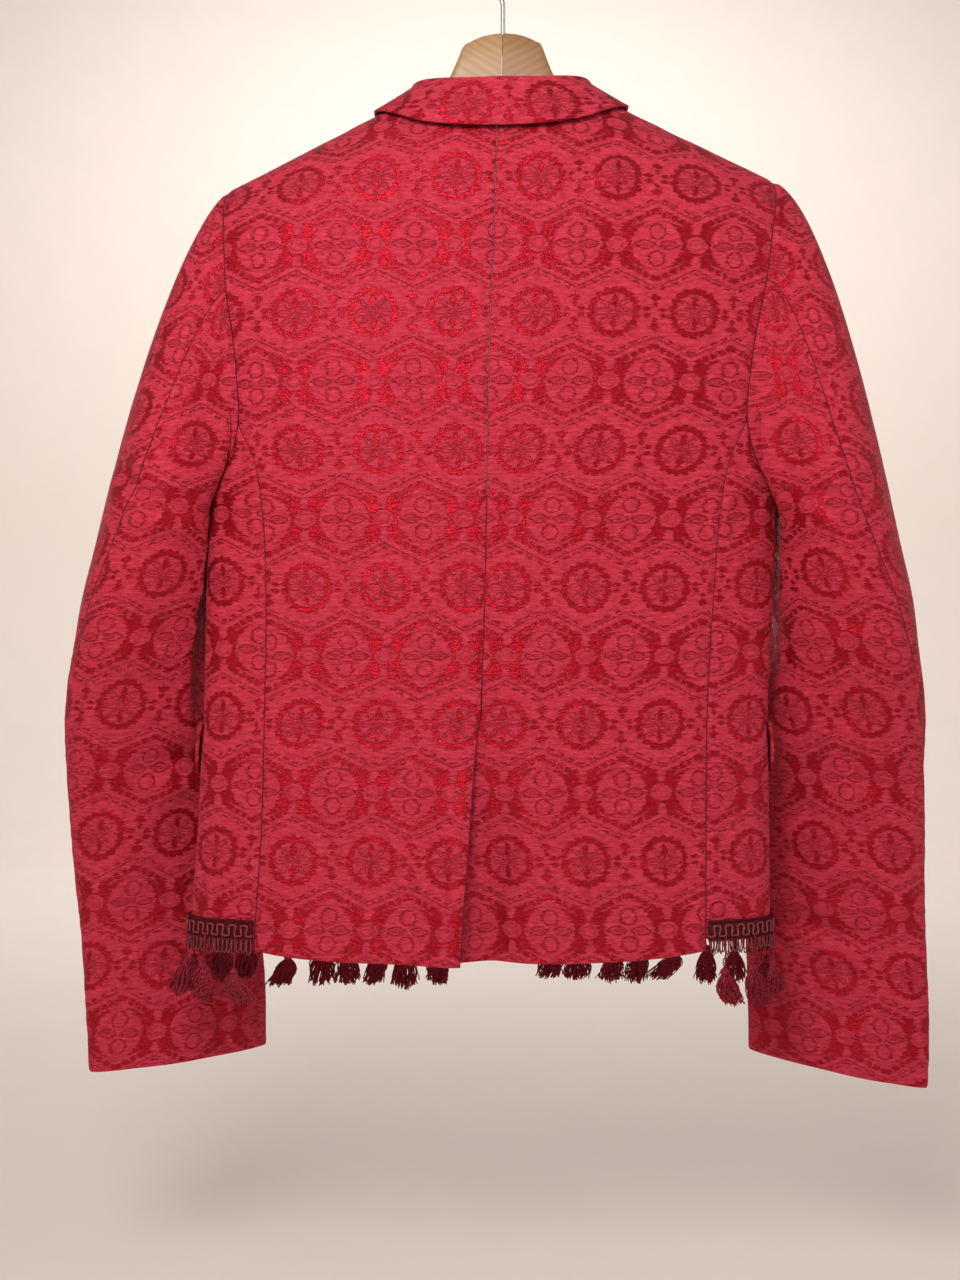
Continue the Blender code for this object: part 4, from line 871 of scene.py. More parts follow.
def sleeve_half(side, upper, rows=112, columns=64):
    """Outer face of the upper or the under sleeve, armhole first. From the armhole A to the
    first ring B it is a cubic with end slopes p and q:
    (1 + 2t)(1 - t)^2 A + t(1 - t)^2 p + t^2(3 - 2t) B - t^2(1 - t) q.
    One column of the upper sleeve starts on the shoulder point."""
    first, last = (FRONT_NOTCH, ARM_ROUND + ELBOW_NOTCH) if upper else (ELBOW_NOTCH, FRONT_NOTCH)
    listed = first + (last - first) * crowded(600, 0.5)
    shares = (shares_of(armhole(listed)) + np.linspace(0, 1, len(listed))) / 2
    numbers = np.interp(crowded(columns, 0.5), shares, listed)
    if upper:
        numbers[np.argmin(np.abs(numbers - ARM_ROUND))] = ARM_ROUND
    share = np.interp(numbers, listed, shares)
    start, rim = on_body(armhole(numbers - (JUST_SHORT if upper else 0)))
    ring_drop, step = SLEEVE[0][0], 0.01
    end = sleeve_ring(side, ring_drop, share, upper)
    chord = np.linalg.norm(end - start, axis=1, keepdims=True)
    slope = (sleeve_ring(side, ring_drop + step, share, upper) - end) / step
    low = smooth(*CAP_LOW, start[:, 2])
    leave = np.radians(CAP_LEAVES[side] + (CAP_LEAVES_LOW - CAP_LEAVES[side]) * low)
    pull = (CAP_PULL + (CAP_PULL_LOW - CAP_PULL) * low)[:, None] * chord
    p = pull * np.stack([np.cos(leave), 0 * leave, np.sin(leave)], axis=1)
    q = CAP_MEETS * chord * slope
    t = np.linspace(0, 1, CAP_ROWS + 1)[:-1, None, None] ** 1.25
    cap = (
        (1 + 2 * t) * (1 - t) ** 2 * start + t * (1 - t) ** 2 * p
        + t * t * (3 - 2 * t) * end - t * t * (1 - t) * q
    )
    down = 1 - (1 - np.linspace(0, 1, rows)) ** 1.15
    drops = ring_drop + (SLEEVE[-1][0] - ring_drop) * down
    grid = np.concatenate([cap, sleeve_ring(side, drops[:, None], share[None], upper)])
    clear = np.concatenate([
        np.full(CAP_ROWS, SLEEVE_CLEAR_TOP),
        SLEEVE_CLEAR_TOP + (SLEEVE_CLEAR_LOW - SLEEVE_CLEAR_TOP) * smooth(*CLEAR_GROWS, drops),
    ])
    grid[1:] = clear_of_body(grid[1:], clear[1:, None])
    inward = ARM_MIDDLE - start
    inward -= rim * (inward * rim).sum(1, keepdims=True)
    grid[0] += unit(inward) * 0.8 * SEAM
    return grid, rim


def cuff_vent(side, grid, normals, upper):
    """Opens the vent at the cuff's outer edge: above it the upper sleeve stands off and
    below it the under sleeve sinks, by a share that grows down to the hem."""
    at = np.linspace(1, 0, grid.shape[1]) if upper else np.linspace(0, 1, grid.shape[1])
    near = np.exp(-((at / CUFF_REACH) ** 2))[None, :]
    lift = CUFF_OPEN[side] * smooth(*CUFF_VENT, grid[..., 2]) * near
    return grid + normals * (lift if upper else -0.4 * lift)[..., None]


def sleeve_skins(side):
    """Both halves of a sleeve with their normals, from closed sections, so that the walls
    stay parallel along the two seams. At the armhole they turn to follow the body."""
    upper, upper_rim = sleeve_half(side, True)
    under, under_rim = sleeve_half(side, False)
    whole = np.concatenate([under[:, :-1], upper[:, :-1]], axis=1)
    round_it = np.roll(whole, -1, axis=1) - np.roll(whole, 1, axis=1)
    normals = unit(np.cross(round_it, np.gradient(whole, axis=0)))
    middle = whole.mean(axis=1, keepdims=True)
    if ((normals * (whole - middle)).sum(-1) > 0).mean() < 0.5:
        normals = -normals
    count = under.shape[1] - 1
    made = []
    for grid, n, rim in (
        (upper, np.concatenate([normals[:, count:], normals[:, :1]], axis=1), upper_rim),
        (under, normals[:, : count + 1], under_rim),
    ):
        turn = smooth(-0.5, 4.0, np.arange(len(grid)))[:, None, None]
        n = unit(rim[None] * (1 - turn) + n * turn)
        made.append((cuff_vent(side, grid, n, grid is upper), n))
    return made


def lying_on(line, offset, front):
    """Points on the body moved out by an offset, from (out, drop) on its front or back."""
    around = around_at(line[..., 0], line[..., 1], front)
    points, normals = on_body(np.stack([around, line[..., 1]], axis=-1))
    return points + normals * np.asarray(offset)[..., None], normals


def collar_skin(columns=84):
    """The collar's outer face and its normals: the stand up from the neck seam, over the
    fold, and the fall down onto the shoulders. Each station is a section square to it."""
    stations = np.interp(
        np.linspace(0, len(COLLAR_STATIONS) - 1, columns), np.arange(len(COLLAR_STATIONS)),
        COLLAR_STATIONS,
    )
    table = np.stack([through(numbered(COLLAR), k, stations) for k in range(1, 8)], axis=1)
    fold = table[:, [2, 3, 4]]
    path = np.concatenate([fold[1:2] * (-1, 1, 1), fold])
    run = np.gradient(path, axis=0)[1:, :2]
    away = unit(np.stack([-run[:, 1], run[:, 0], 0 * run[:, 0]], axis=1))
    away[0] = (0, 1, 0)
    away *= np.sign((away * (fold + (0, 0.01, 0))).sum(1, keepdims=True))
    up = np.array([0, 0, -1.0])
    half = COLLAR_CLOTH + COLLAR_FOLD / 2
    is_front = stations > COLLAR_SIDE_ROW
    seam, _ = lying_on(table[:, :2], np.zeros(len(table)), is_front)
    seam = seam - away * COLLAR_CLOTH + up * STAND_RISE
    off = CLEAR + COLLAR_CLOTH + 0.5 * COLLAR_LIFT
    edge_off = off + COLLAR_EDGE_OFF * (1 - smooth(1.5, 4.5, stations))
    edge, _ = lying_on(table[:, 5:7], edge_off, is_front)
    arc = [
        fold + half * (math.cos(a) * -away + math.sin(a) * up)
        for a in np.radians(np.linspace(0, 180, 15))
    ]
    stand = [seam + (arc[0] - seam) * t for t in np.linspace(0, 1, 6)[:-1]]
    chord = arc[-1] - edge
    sag = np.linalg.norm(chord, axis=1, keepdims=True) * FALL_BOW
    fall = []
    for t in 1 - (1 - np.linspace(0, 1, 24)[1:]) ** 1.2:
        bow = away * sag * math.sin(math.pi * t) * (1 - smooth(3, 5, stations))[:, None]
        fall.append(off_body(arc[-1] - chord * t + bow, off))
    right_half = np.stack([*stand, *arc, *fall], axis=0)
    grid = np.concatenate([right_half[:, :0:-1] * (-1, 1, 1), right_half], axis=1)
    normals = grid_normals(grid)
    if normals[-1, right_half.shape[1] - 1, 1] < 0:
        normals = -normals
    return grid, normals


def lapel_skin(side, rows=90, columns=28):
    """The lapel lies on the front from the roll line out, turned up a little at the roll."""
    t = LAPEL_FROM[side] + (1 - LAPEL_FROM[side]) * crowded(rows)[:, None]
    u = crowded(columns)[None, :]
    roll = roll_at(side, t)
    along = roll_at(side, np.array(1.0)) - roll_at(side, np.array(0.0))
    square_to = np.array([-along[1], along[0]]) / np.linalg.norm(along)
    starts = smooth(LAPEL_FROM[side] - 0.12, LAPEL_FROM[side] + 0.2, t)
    width = through(LAPEL_WIDTH, 1, t) * starts
    gorge = np.array([math.cos(GORGE_SLOPE), math.sin(GORGE_SLOPE)])
    turn = smooth(0.80, 1.0, t)[..., None]
    way = square_to * (1 - turn) + gorge * turn
    flat = roll + (u * width)[..., None] * way
    off = LAPEL_EDGE_OFF * u**3 * smooth(0.12, 0.50, t)
    return lying_on(flat, CLEAR + CLOTH + LAPEL_ROLL * (1 - u) ** 2 + off, True)


def flap_skin(rows=22, columns=52):
    """A pocket flap, with its lower corners rounded by lifting them off the bottom line."""
    across = FLAP_REAR + (FLAP_FRONT - FLAP_REAR) * crowded(columns)
    down = crowded(rows)[::-1, None]
    ends = np.minimum(across - FLAP_REAR, FLAP_FRONT - across) / FLAP_ROUND
    lift = FLAP_CORNER * (1 - np.sqrt(1 - np.clip(1 - ends, 0, 1) ** 2))
    drops = FLAP_TOP + (FLAP_BOTTOM - FLAP_TOP - lift)[None, :] * down
    slanted = FLAP_SLANT * (drops - FLAP_TOP) * smooth(1.2, 0.9, across)[None, :]
    points, normals = on_body(np.stack([across[None, :] + slanted, drops], axis=-1))
    puff = FLAP_PUFF * np.sin(np.pi * down) * np.ones_like(drops)
    return points + normals * (2 * CLEAR + CLOTH + puff)[..., None], normals


# Cloth: creases, turned edges and the flat cut


def grid_normals(grid):
    """Normals of a grid of points, from the slopes along its rows and columns."""
    down, across = (np.gradient(grid, axis=k, edge_order=2) for k in (0, 1))
    return unit(np.cross(across, down))


def crease_depth(points, facing, table, strength):
    """How far creases move the cloth out. Across each one it is a trough exp(-s^2) with a
    rise beside it, 1.6 rise exp(-(s - 1.5)^2), and along it a soft rise and fall. facing is
    the normal's share towards the back, so a crease fades where the cloth turns aside."""
    moved = np.zeros(points.shape[:2])
    x, z = points[..., 0], points[..., 2]
    for side, x0, z0, x1, z1, depth, half, rise in table:
        way = np.array([x1 - x0, z1 - z0])
        long = np.hypot(*way)
        way /= long
        t = ((x - x0) * way[0] + (z - z0) * way[1]) / long
        bend = 0.10 * long * np.sin(np.pi * np.clip(t, 0, 1)) * (1 if half > 0.01 else -1)
        s = (-(x - x0) * way[1] + (z - z0) * way[0] + bend) / half
        shape = -np.exp(-(s**2)) + rise * 1.6 * np.exp(-((s - 1.5) ** 2))
        seen = smooth(0.15, 0.75, side * facing)
        moved += depth * shape * stretch(-0.25, 0.3, 0.65, 1.25, t) * seen
    return moved * strength


def drape(points, facing, strength):
    """The cloth's slight unevenness: a few crossing waves, deeper towards the hem."""
    x, z = points[..., 0], points[..., 2]
    waves = sum(high * np.sin(left * x + up * z + shift) for high, left, up, shift in DRAPE_WAVES)
    small = np.sin(420 * z + 90 * np.sin(31 * x)) * np.sin(260 * x + 3 * np.sin(55 * z))
    low = 0.35 + 0.65 * smooth(-0.50, -0.74, z)
    level = smooth(0.1, 0.7, np.abs(facing))
    return (DRAPE * waves * low + DRAPE_SMALL * small) * level * strength


def edge_distance(points, edges):
    """How far each point lies from the nearest of the named edges, along rows or columns."""
    down, across = lengths(points), lengths(points, 1)
    found = {
        "left": across, "right": across[:, -1:] - across,
        "low": down, "high": down[-1:] - down,
    }
    return np.minimum.reduce([found[e] for e in edges]) if edges else np.full(across.shape, 1.0)


def pulled_in(grid, edges, by):
    """The grid with the named edges drawn in along the cloth, to leave a seam's gap."""
    grid = grid.copy()
    places = {
        "low": (np.s_[0, :], np.s_[1, :]), "high": (np.s_[-1, :], np.s_[-2, :]),
        "left": (np.s_[:, 0], np.s_[:, 1]), "right": (np.s_[:, -1], np.s_[:, -2]),
    }
    for edge in edges:
        rim, inner = places[edge]
        way = grid[inner] - grid[rim]
        size = np.linalg.norm(way, axis=-1, keepdims=True)
        grid[rim] = grid[rim] + way / size * np.minimum(by, 0.4 * size)
    return grid


def skins(made, side, seams, hems, table, strength, thick=CLOTH, half=0):
    """Outer and inner skin of a piece in the part's frame. Seams are drawn in, sink a little
    and pucker. Hems and free edges thin out to a rounded turn."""
    grid, normals = made
    grid = pulled_in(grid, seams, DRAWN_IN)
    placed = settle(grid, side)
    facing = normals[..., 1]
    seam = edge_distance(grid, seams)
    held = HELD + (1 - HELD) * smooth(0, HELD_REACH, seam)
    move = held * crease_depth(placed, facing, table, strength) + drape(placed, facing, strength)
    if seams:
        along = 0.5 + 0.5 * np.sin(340 * placed[..., 2] + 2.3 * np.sin(97 * placed[..., 2] + 1))
        move -= SINK * np.exp(-((seam / SINK_REACH) ** 2))
        move += PUCKER * along * np.exp(-(((seam - PUCKER_AT) / PUCKER_REACH) ** 2))
    free = np.clip(1 - edge_distance(grid, hems) / EDGE_REACH, 0, 1)
    turned = thick * EDGE_THIN * (1 - np.sqrt(1 - free**2))
    outer = grid + normals * (move - turned)[..., None]
    inner = grid + normals * (move - thick + turned)[..., None]
    if half:
        for skin in (outer, inner):
            skin[..., 1] = half * np.maximum(half * skin[..., 1], SEAM / 2)
    return settle(outer, side), settle(inner, side)


def laid_flat(points):
    """(u, v) of each point on the flat cut, in metres. v runs along the middle column, and
    each row adds its own way along that line. u is the distance round the row, with that
    part taken out."""
    middle = points[:, points.shape[1] // 2]
    run = unit(np.gradient(middle, axis=0))
    v = lengths(middle)[:, None] + ((points - middle[:, None]) * run[:, None]).sum(-1)
    round_row = np.diff(points, axis=1)
    with_run = (round_row * run[:, None]).sum(-1)
    u = running(np.sqrt(np.maximum((round_row**2).sum(-1) - with_run**2, 0)), 1)
    return np.stack([u, v], axis=-1)


def sleeve_flat(points):
    """(u, v) on a sleeve piece, armhole first. v is the length down the middle column to the
    same height. On the rings u is the distance round from that column, and above them it is
    read from the first ring at the same angle round the sleeve's middle."""
    middle = points.shape[1] // 2
    down = points[:, middle]
    length = lengths(down)
    slope = (length[-1] - length[CAP_ROWS]) / (down[-1, 2] - down[CAP_ROWS, 2])
    v = np.interp(points[..., 2], down[:, 2], length)
    v += slope * np.minimum(points[..., 2] - down[0, 2], 0)
    v += slope * np.maximum(points[..., 2] - down[-1, 2], 0)
    u = lengths(points, 1)
    u -= u[:, middle : middle + 1]
    ring = points[CAP_ROWS]
    tilt = (SLEEVE_MIDDLE - ARM_MIDDLE[0]) / (SLEEVE[0][0] - ARM_MIDDLE[2])
    start = np.array([ring[:, 0].mean(), ring[:, 1].mean()])

    def angle(at):
        centre = start[0] + tilt * (at[..., 2] - ring[0, 2])
        turn = np.arctan2(at[..., 1] - start[1], at[..., 0] - centre)
        base = np.arctan2(ring[middle, 1] - start[1], ring[middle, 0] - start[0])
        return (turn - base + np.pi) % (2 * np.pi) - np.pi

    order = np.argsort(angle(ring))
    known, known_u = angle(ring)[order], u[CAP_ROWS, order]
    turned = angle(points[:CAP_ROWS])
    u[:CAP_ROWS] = np.interp(turned, known, known_u)
    for last, before, beyond in ((0, 3, np.minimum), (-1, -4, np.maximum)):
        slope = (known_u[last] - known_u[before]) / (known[last] - known[before])
        u[:CAP_ROWS] += slope * beyond(turned - known[last], 0)
    return np.stack([u, -v], axis=-1)


def hung_flat(points, side, grain=None):
    """(u, v) on a body panel, whose grain hangs straight: v is the height, with the shoulder's
    roundness added, and u is the level distance round from the grain line. That line is an x
    for each row, or the panel's middle column."""
    level = lengths(points[..., :2], 1)
    if grain is None:
        start = level[:, points.shape[1] // 2]
    else:
        start = np.array([
            np.interp(side * x, side * row, far)
            for x, row, far in zip(grain, points[..., 0], level)
        ])
    below = np.minimum(near_ridge(points[..., 0], -points[..., 2]), 1.0)
    v = points[..., 2] + 0.25 * RIDGE * below**2
    return np.stack([side * (level - start[:, None]), v], axis=-1)


# Meshes


def quads(index):
    """Faces of a grid of point numbers, or of several, a row each."""
    low, high = index[..., :-1, :], index[..., 1:, :]
    corners = low[..., :-1], low[..., 1:], high[..., 1:], high[..., :-1]
    return np.stack(corners, axis=-1).reshape(-1, 4)


def wall_faces(rows, columns):
    """Faces of a closed wall whose two skins are grids: the outer one first, then the inner."""
    outer, inner = np.arange(2 * rows * columns).reshape(2, rows, columns)
    rim = [
        np.stack([outer[0], inner[0]]), np.stack([inner[-1], outer[-1]]),
        np.stack([inner[:, 0], outer[:, 0]]), np.stack([outer[:, -1], inner[:, -1]]),
    ]
    return np.concatenate([quads(outer), quads(inner)[:, ::-1], *(quads(r)[:, ::-1] for r in rim)])


def volume_inside(points, faces):
    """Signed volume of a closed mesh of quads: the sum of a . (b x c) / 6 over its triangles."""
    a, b, c, d = (points[faces[:, k]] for k in range(4))
    return ((a * np.cross(b, c)).sum() + (a * np.cross(c, d)).sum()) / 6


def linked(name, data):
    """A new object in the scene."""
    made = bpy.data.objects.new(name, data)
    bpy.context.scene.collection.objects.link(made)
    return made


def put(name, points, faces, material, replaced=None, uv=None, seam=None, sharp=48.0):
    points, faces = np.asarray(points, float), np.asarray(faces)
    if volume_inside(points - points.mean(0), faces) < 0:
        faces = faces[:, ::-1]
    mesh = bpy.data.meshes.new(name)
    mesh.vertices.add(len(points))
    mesh.vertices.foreach_set("co", points.astype(np.float32).ravel())
    mesh.loops.add(faces.size)
    mesh.loops.foreach_set("vertex_index", faces.astype(np.int32).ravel())
    mesh.polygons.add(len(faces))
    mesh.polygons.foreach_set("loop_start", np.arange(0, faces.size, 4, dtype=np.int32))
    mesh.update(calc_edges=True)
    mesh.validate()
    if uv is not None:
        layer = mesh.uv_layers.new(name="Cut")
        layer.data.foreach_set("uv", uv[faces.ravel()].astype(np.float32).ravel())
    if seam is not None:
        layer = mesh.attributes.new("Seam", "FLOAT", "POINT")
        layer.data.foreach_set("value", seam.astype(np.float32).ravel())
    mesh.materials.append(material)
    mesh.shade_smooth()
    mesh.set_sharp_from_angle(angle=math.radians(sharp))
    made = linked(name, mesh)
    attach(made, "root")
    if replaced:
        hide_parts(replaced)
    return made


def cloth(name, outer, inner, uv, material, replaced, seams=(), grain=0.0):
    """A closed wall of cloth from its two skins, with its flat cut as a UV map and each
    point's distance from the seams. Its grain is how far the pattern is moved at each point."""
    rows, columns = outer.shape[:2]
    points = np.concatenate([outer.reshape(-1, 3), inner.reshape(-1, 3)])
    flat = np.tile((uv + grain).reshape(-1, 2), (2, 1))
    seam = np.tile(edge_distance(outer, seams).ravel(), 2)
    made = put(name, points, wall_faces(rows, columns), material, replaced, flat, seam)


# Node sums and shared effects


def feed(tree, socket, value):
    """Links a socket to a term or another socket, or sets it to a plain value."""
    value = value.socket if isinstance(value, Term) else value
    if isinstance(value, bpy.types.NodeSocket):
        tree.links.new(value, socket)
    else:
        socket.default_value = value


class Term:
    """A number that varies over the surface. Sums with it add Math nodes."""

    def __init__(self, tree, socket):
        self.tree, self.socket = tree, socket

    def made(self, operation, *others, clamp=False):
        node = self.tree.nodes.new("ShaderNodeMath")
        node.operation, node.use_clamp = operation, clamp
        for place, value in zip(node.inputs, (self, *others)):
            feed(self.tree, place, value)
        return Term(self.tree, node.outputs[0])

    def __add__(self, other):
        return self.made("ADD", other)

    def __sub__(self, other):
        return self.made("SUBTRACT", other)

    def __mul__(self, other):
        return self.made("MULTIPLY", other)

    def over(self, other):
        return self.made("DIVIDE", other)

    def less_from(self, number):
        return (self * -1.0) + number

    def without(self, mask):
        """The term where a mask is 0, and 0 where the mask is 1."""
        return self * mask.less_from(1.0)

    def high(self, other):
        return self.made("MAXIMUM", other)

    def size(self):
        return self.made("ABSOLUTE")

    def folded(self, at):
        return self.made("PINGPONG", at)

    def wave(self):
        return self.made("SINE")

    def far(self, other):
        """Length of the pair, sqrt(self^2 + other^2)."""
        return (self * self + other * other).made("SQRT")

    def inside(self, soft=0.35):
        """1 where the term is below zero and 0 above it, soft over a width."""
        return (self * (-0.5 / soft)).made("ADD", 0.5, clamp=True)

    def line(self, half, soft=0.3):
        """1 on the line where the term is zero, out to a half width."""
        return (self.size() - half).inside(soft)


def both(a, b):
    return a * b


def either(*masks):
    found = masks[0]
    for mask in masks[1:]:
        found = found.high(mask)
    return found


def place_in(tree, kind, inputs=(), **settings):
    """A node with its settings, links and values."""
    node = tree.nodes.new(kind)
    for name, value in settings.items():
        setattr(node, name, value)
    for name, value in dict(inputs).items():
        feed(tree, node.inputs[name], value)
    return node


def split(tree, vector):
    """The three parts of a vector, as terms."""
    node = place_in(tree, "ShaderNodeSeparateXYZ", {0: vector})
    return [Term(tree, part) for part in node.outputs]


EVEN = (1.0, 1.0, 1.0)


def noise_node(tree, vector, scale, detail, stretch, rough=0.5):
    mapped = place_in(tree, "ShaderNodeMapping", {"Vector": vector, "Scale": stretch})
    return place_in(tree, "ShaderNodeTexNoise", {
        "Vector": mapped.outputs[0], "Scale": scale, "Detail": detail, "Roughness": rough,
    })


def noise(tree, vector, scale, detail=2.0, stretch=EVEN, rough=0.5):
    """Soft noise from 0 to 1 at a scale per metre, stretched along the axes."""
    return Term(tree, noise_node(tree, vector, scale, detail, stretch, rough).outputs["Fac"])


def noise_pair(tree, vector, scale, stretch=EVEN, detail=0.0):
    """Two soft noises from -0.5 to 0.5."""
    made = noise_node(tree, vector, scale, detail, stretch)
    return [part - 0.5 for part in split(tree, made.outputs["Color"])[:2]]


FLOAT, VECTOR = "NodeSocketFloat", "NodeSocketVector"


def new_group(name, **numbers):
    """An empty shader group with a Place and some numbers: (tree, its input terms)."""
    tree = bpy.data.node_groups.new(name, "ShaderNodeTree")
    tree.interface.new_socket(name="Place", in_out="INPUT", socket_type=VECTOR)
    for word, value in numbers.items():
        socket = tree.interface.new_socket(name=word, in_out="INPUT", socket_type=FLOAT)
        socket.default_value = value
    start = tree.nodes.new("NodeGroupInput")
    return tree, {word: Term(tree, start.outputs[word]) for word in ("Place", *numbers)}


def close_group(tree, **terms):
    """Gives a group an output for each of its finished terms."""
    for word in terms:
        tree.interface.new_socket(name=word, in_out="OUTPUT", socket_type=FLOAT)
    place_in(tree, "NodeGroupOutput", terms)
    return tree


def blended(tree, mask, a, b):
    """Colour a where the mask is 0 and b where it is 1."""
    a, b = (c if isinstance(c, bpy.types.NodeSocket) else (*c[:3], 1.0) for c in (a, b))
    mix = place_in(tree, "ShaderNodeMix", {"Factor": mask, 6: a, 7: b}, data_type="RGBA")
    return mix.outputs[2]


def medallion_group():
    """The brocade's repeat, 56 mm across and 96.4 mm down, mirrored both ways: a round disc
    at its corners, a flower in a ring at its middle, and a zigzag between them. Figure is 1
    on the raised weave. Weave is the fine relief of both weaves, Crinkle the short puckers
    and Blotch a slow unevenness. After the first lines every number is in millimetres."""
    tree, given = new_group("Medallion brocade", Across=0.0, Down=0.0)
    place = given["Place"]
    x, y, _ = split(tree, place)
    jitter, jitter_down = noise_pair(tree, place, 640.0, (0.30, 1.7, 1.0), 1.0)
    wander, wander_down = noise_pair(tree, place, 45.0)
    u = (x + given["Across"]) * 1000.0 + jitter * 8.5 + wander * 2.0
    v = (y + given["Down"]) * 1000.0 + jitter_down * 1.6 + wander_down * 1.6
    ax, ay = u.folded(28.0), v.folded(48.2)
    bx, by = ax.less_from(28.0), ay.less_from(48.2)

    # The disc, with an eye across it, an arc above and below, and a crest of small teeth
    disc_round = ay.made("ARCTAN2", ax)
    disc_far = ax.far(ay)
    disc = (disc_far - (disc_round * 28.0).wave() * 0.45 - 17.6).inside()
    eye = (ax - 8.5).far(ay + 7.0) - 9.9
    arc = ax.far(ay - 9.5) - 5.5
    ribs = ((ay * 2.1).wave() - 0.72).inside(0.25).less_from(1.0)
    eye_ribs = both(ribs, (eye + 0.9).inside())
    lower_arc = both(arc.line(0.55), (ay * -1.0 + 4.0).inside())
    pupil = (ax - 8.0).far(ay * 1.2) - 1.4
    grooves = either(eye.line(0.4), lower_arc, pupil.line(0.4) * 0.6, eye_ribs * 0.5) * 0.95
    disc = disc.without(grooves)

    # The chain between two discs
    oval = (bx.over(7.6).far(ay.over(6.2)) - 1.0) * 6.2
    oval_mark = oval.inside().without((oval + 2.4).line(0.3) * 0.5)
    bell = (bx - (ay - 7.0) * 0.24 - 2.0).high(ay.less_from(7.4)).high(ay - 14.6)

    # The zigzag: a thin line with a plain strip on the disc's side, then a row of dots
    zigzag = (ay + ax * 0.475 - 30.8) * 0.903
    along = (ax - ay * 0.475) * 0.903
    dashes = (zigzag + 5.5).line(1.9).without((along.folded(2.9) - 0.9).inside(0.4))
    level_share = ax.over(disc_far + 0.01)
    crescent = (disc_far - 17.2 - level_share * level_share * 6.5).inside(0.6)
    crescent = both(crescent, (zigzag + 2.4).inside(0.6))
    by_chain = both((bx - 9.6).inside(0.5), (zigzag + 5.0).inside())
    sunk = either(dashes, crescent, by_chain)
    disc_side = either(disc, oval_mark, bell.inside(), sunk.less_from(1.0))

    # The flower in its ring
    flower_round, flower_far = by.made("ARCTAN2", bx), bx.far(by)
    scallop = (flower_round * 9.0).wave().size()
    ring = (flower_far - scallop * 2.1 - 16.3).inside()
    ring = ring.without((flower_far - scallop * 0.7 - 13.1).inside())
    upright = (by - 7.5).far(bx + 5.53) - 7.13
    level = (bx - 7.8).far(by + 5.8) - 8.2
    p, q = (bx + by) * 0.7071, ((bx - by) * 0.7071).size()
    leaf = (p - 8.5).far(q + 5.53) - 7.0
    core = bx.far(by) - 2.0
    lines = either(level.line(0.4), leaf.line(0.35), core.line(0.4), by.line(0.3)) * 0.7
    inside_ring = both(either((upright - 0.5).inside(), lines), (flower_far - 12.8).inside())

    # Small dark marks between the ring and the zigzag
    diamond = ax.over(4.2) + (by - 10.5).size().over(2.9) - 1.0
    seed = ((ax - 5.6).over(2.5).far((by - 2.2).over(1.6)) - 1.0) * 2.0
    bud = (ax.over(1.5).far((by - 5.5).over(1.9)) - 1.0) * 1.7
    wedge = both((along.folded(4.1) - 2.2).inside(0.5), (zigzag - 2.4).line(0.55))
    marks = either((diamond * 2.6).inside(), seed.inside(), bud.inside(), wedge)
    flower_side = either(ring, inside_ring, marks).less_from(1.0)
    on_flower_side = zigzag.inside(0.3).less_from(1.0)
    figure = disc_side.without(on_flower_side).high(both(flower_side, on_flower_side))
    figure = figure.without(zigzag.line(0.45) * 0.6)

    # Puckers that lie level and short, and the threads of both weaves
    crinkle = noise(tree, place, 430.0, 2.5, (0.30, 1.0, 1.0), 0.65)
    ribs_fine = (u * 2.6).wave() * 0.5 + (v * 4.4).wave() * 0.5
    slanted = (u * 1.7 + v * 3.3).wave() * 0.4
    weave = both(ribs_fine, figure) + slanted.without(figure)
    return close_group(tree, Figure=figure, Weave=weave, Crinkle=crinkle, Blotch=wander + 0.5)


def thread_group():
    """Twisted thread: Twist runs round a cord like a screw, Fuzz is its unevenness."""
    tree, given = new_group("Twisted thread", Pitch=900.0)
    x, y, z = split(tree, given["Place"])
    fuzz = noise(tree, given["Place"], 700.0, 3.0)
    turned = (x + y * 0.7 + z * 0.8) * given["Pitch"] * 6.283
    twist = (turned + fuzz * 2.0).wave() * 0.5 + 0.5
    return close_group(tree, Twist=twist, Fuzz=fuzz)


def group_node(tree, name, make, inputs):
    """The outputs, as terms, of a group that is built once and placed in each material."""
    group = bpy.data.node_groups.get(name) or make()
    node = place_in(tree, "ShaderNodeGroup", inputs, node_tree=group)
    return {out.name: Term(tree, out) for out in node.outputs}


def blank_material(name):
    """(material, its tree, its Object coordinates and UV map)."""
    material = bpy.data.materials.new(name)
    material.use_nodes = True
    return material, material.node_tree, material.node_tree.nodes.new("ShaderNodeTexCoord").outputs


def finish(material, colour, roughness, metallic=0.0, height=None, distance=0.001, **plain):
    """Links a material's shader and returns it. height is a term in units of distance."""
    tree = material.node_tree
    shader = tree.nodes["Principled BSDF"]
    for name, value in (("Base Color", colour), ("Roughness", roughness), ("Metallic", metallic)):
        feed(tree, shader.inputs[name], value)
    if height is not None:
        bump = place_in(tree, "ShaderNodeBump", {"Height": height, "Distance": distance})
        tree.links.new(bump.outputs[0], shader.inputs["Normal"])
    for name, value in plain.items():
        shader.inputs[name.replace("_", " ")].default_value = value
    return material


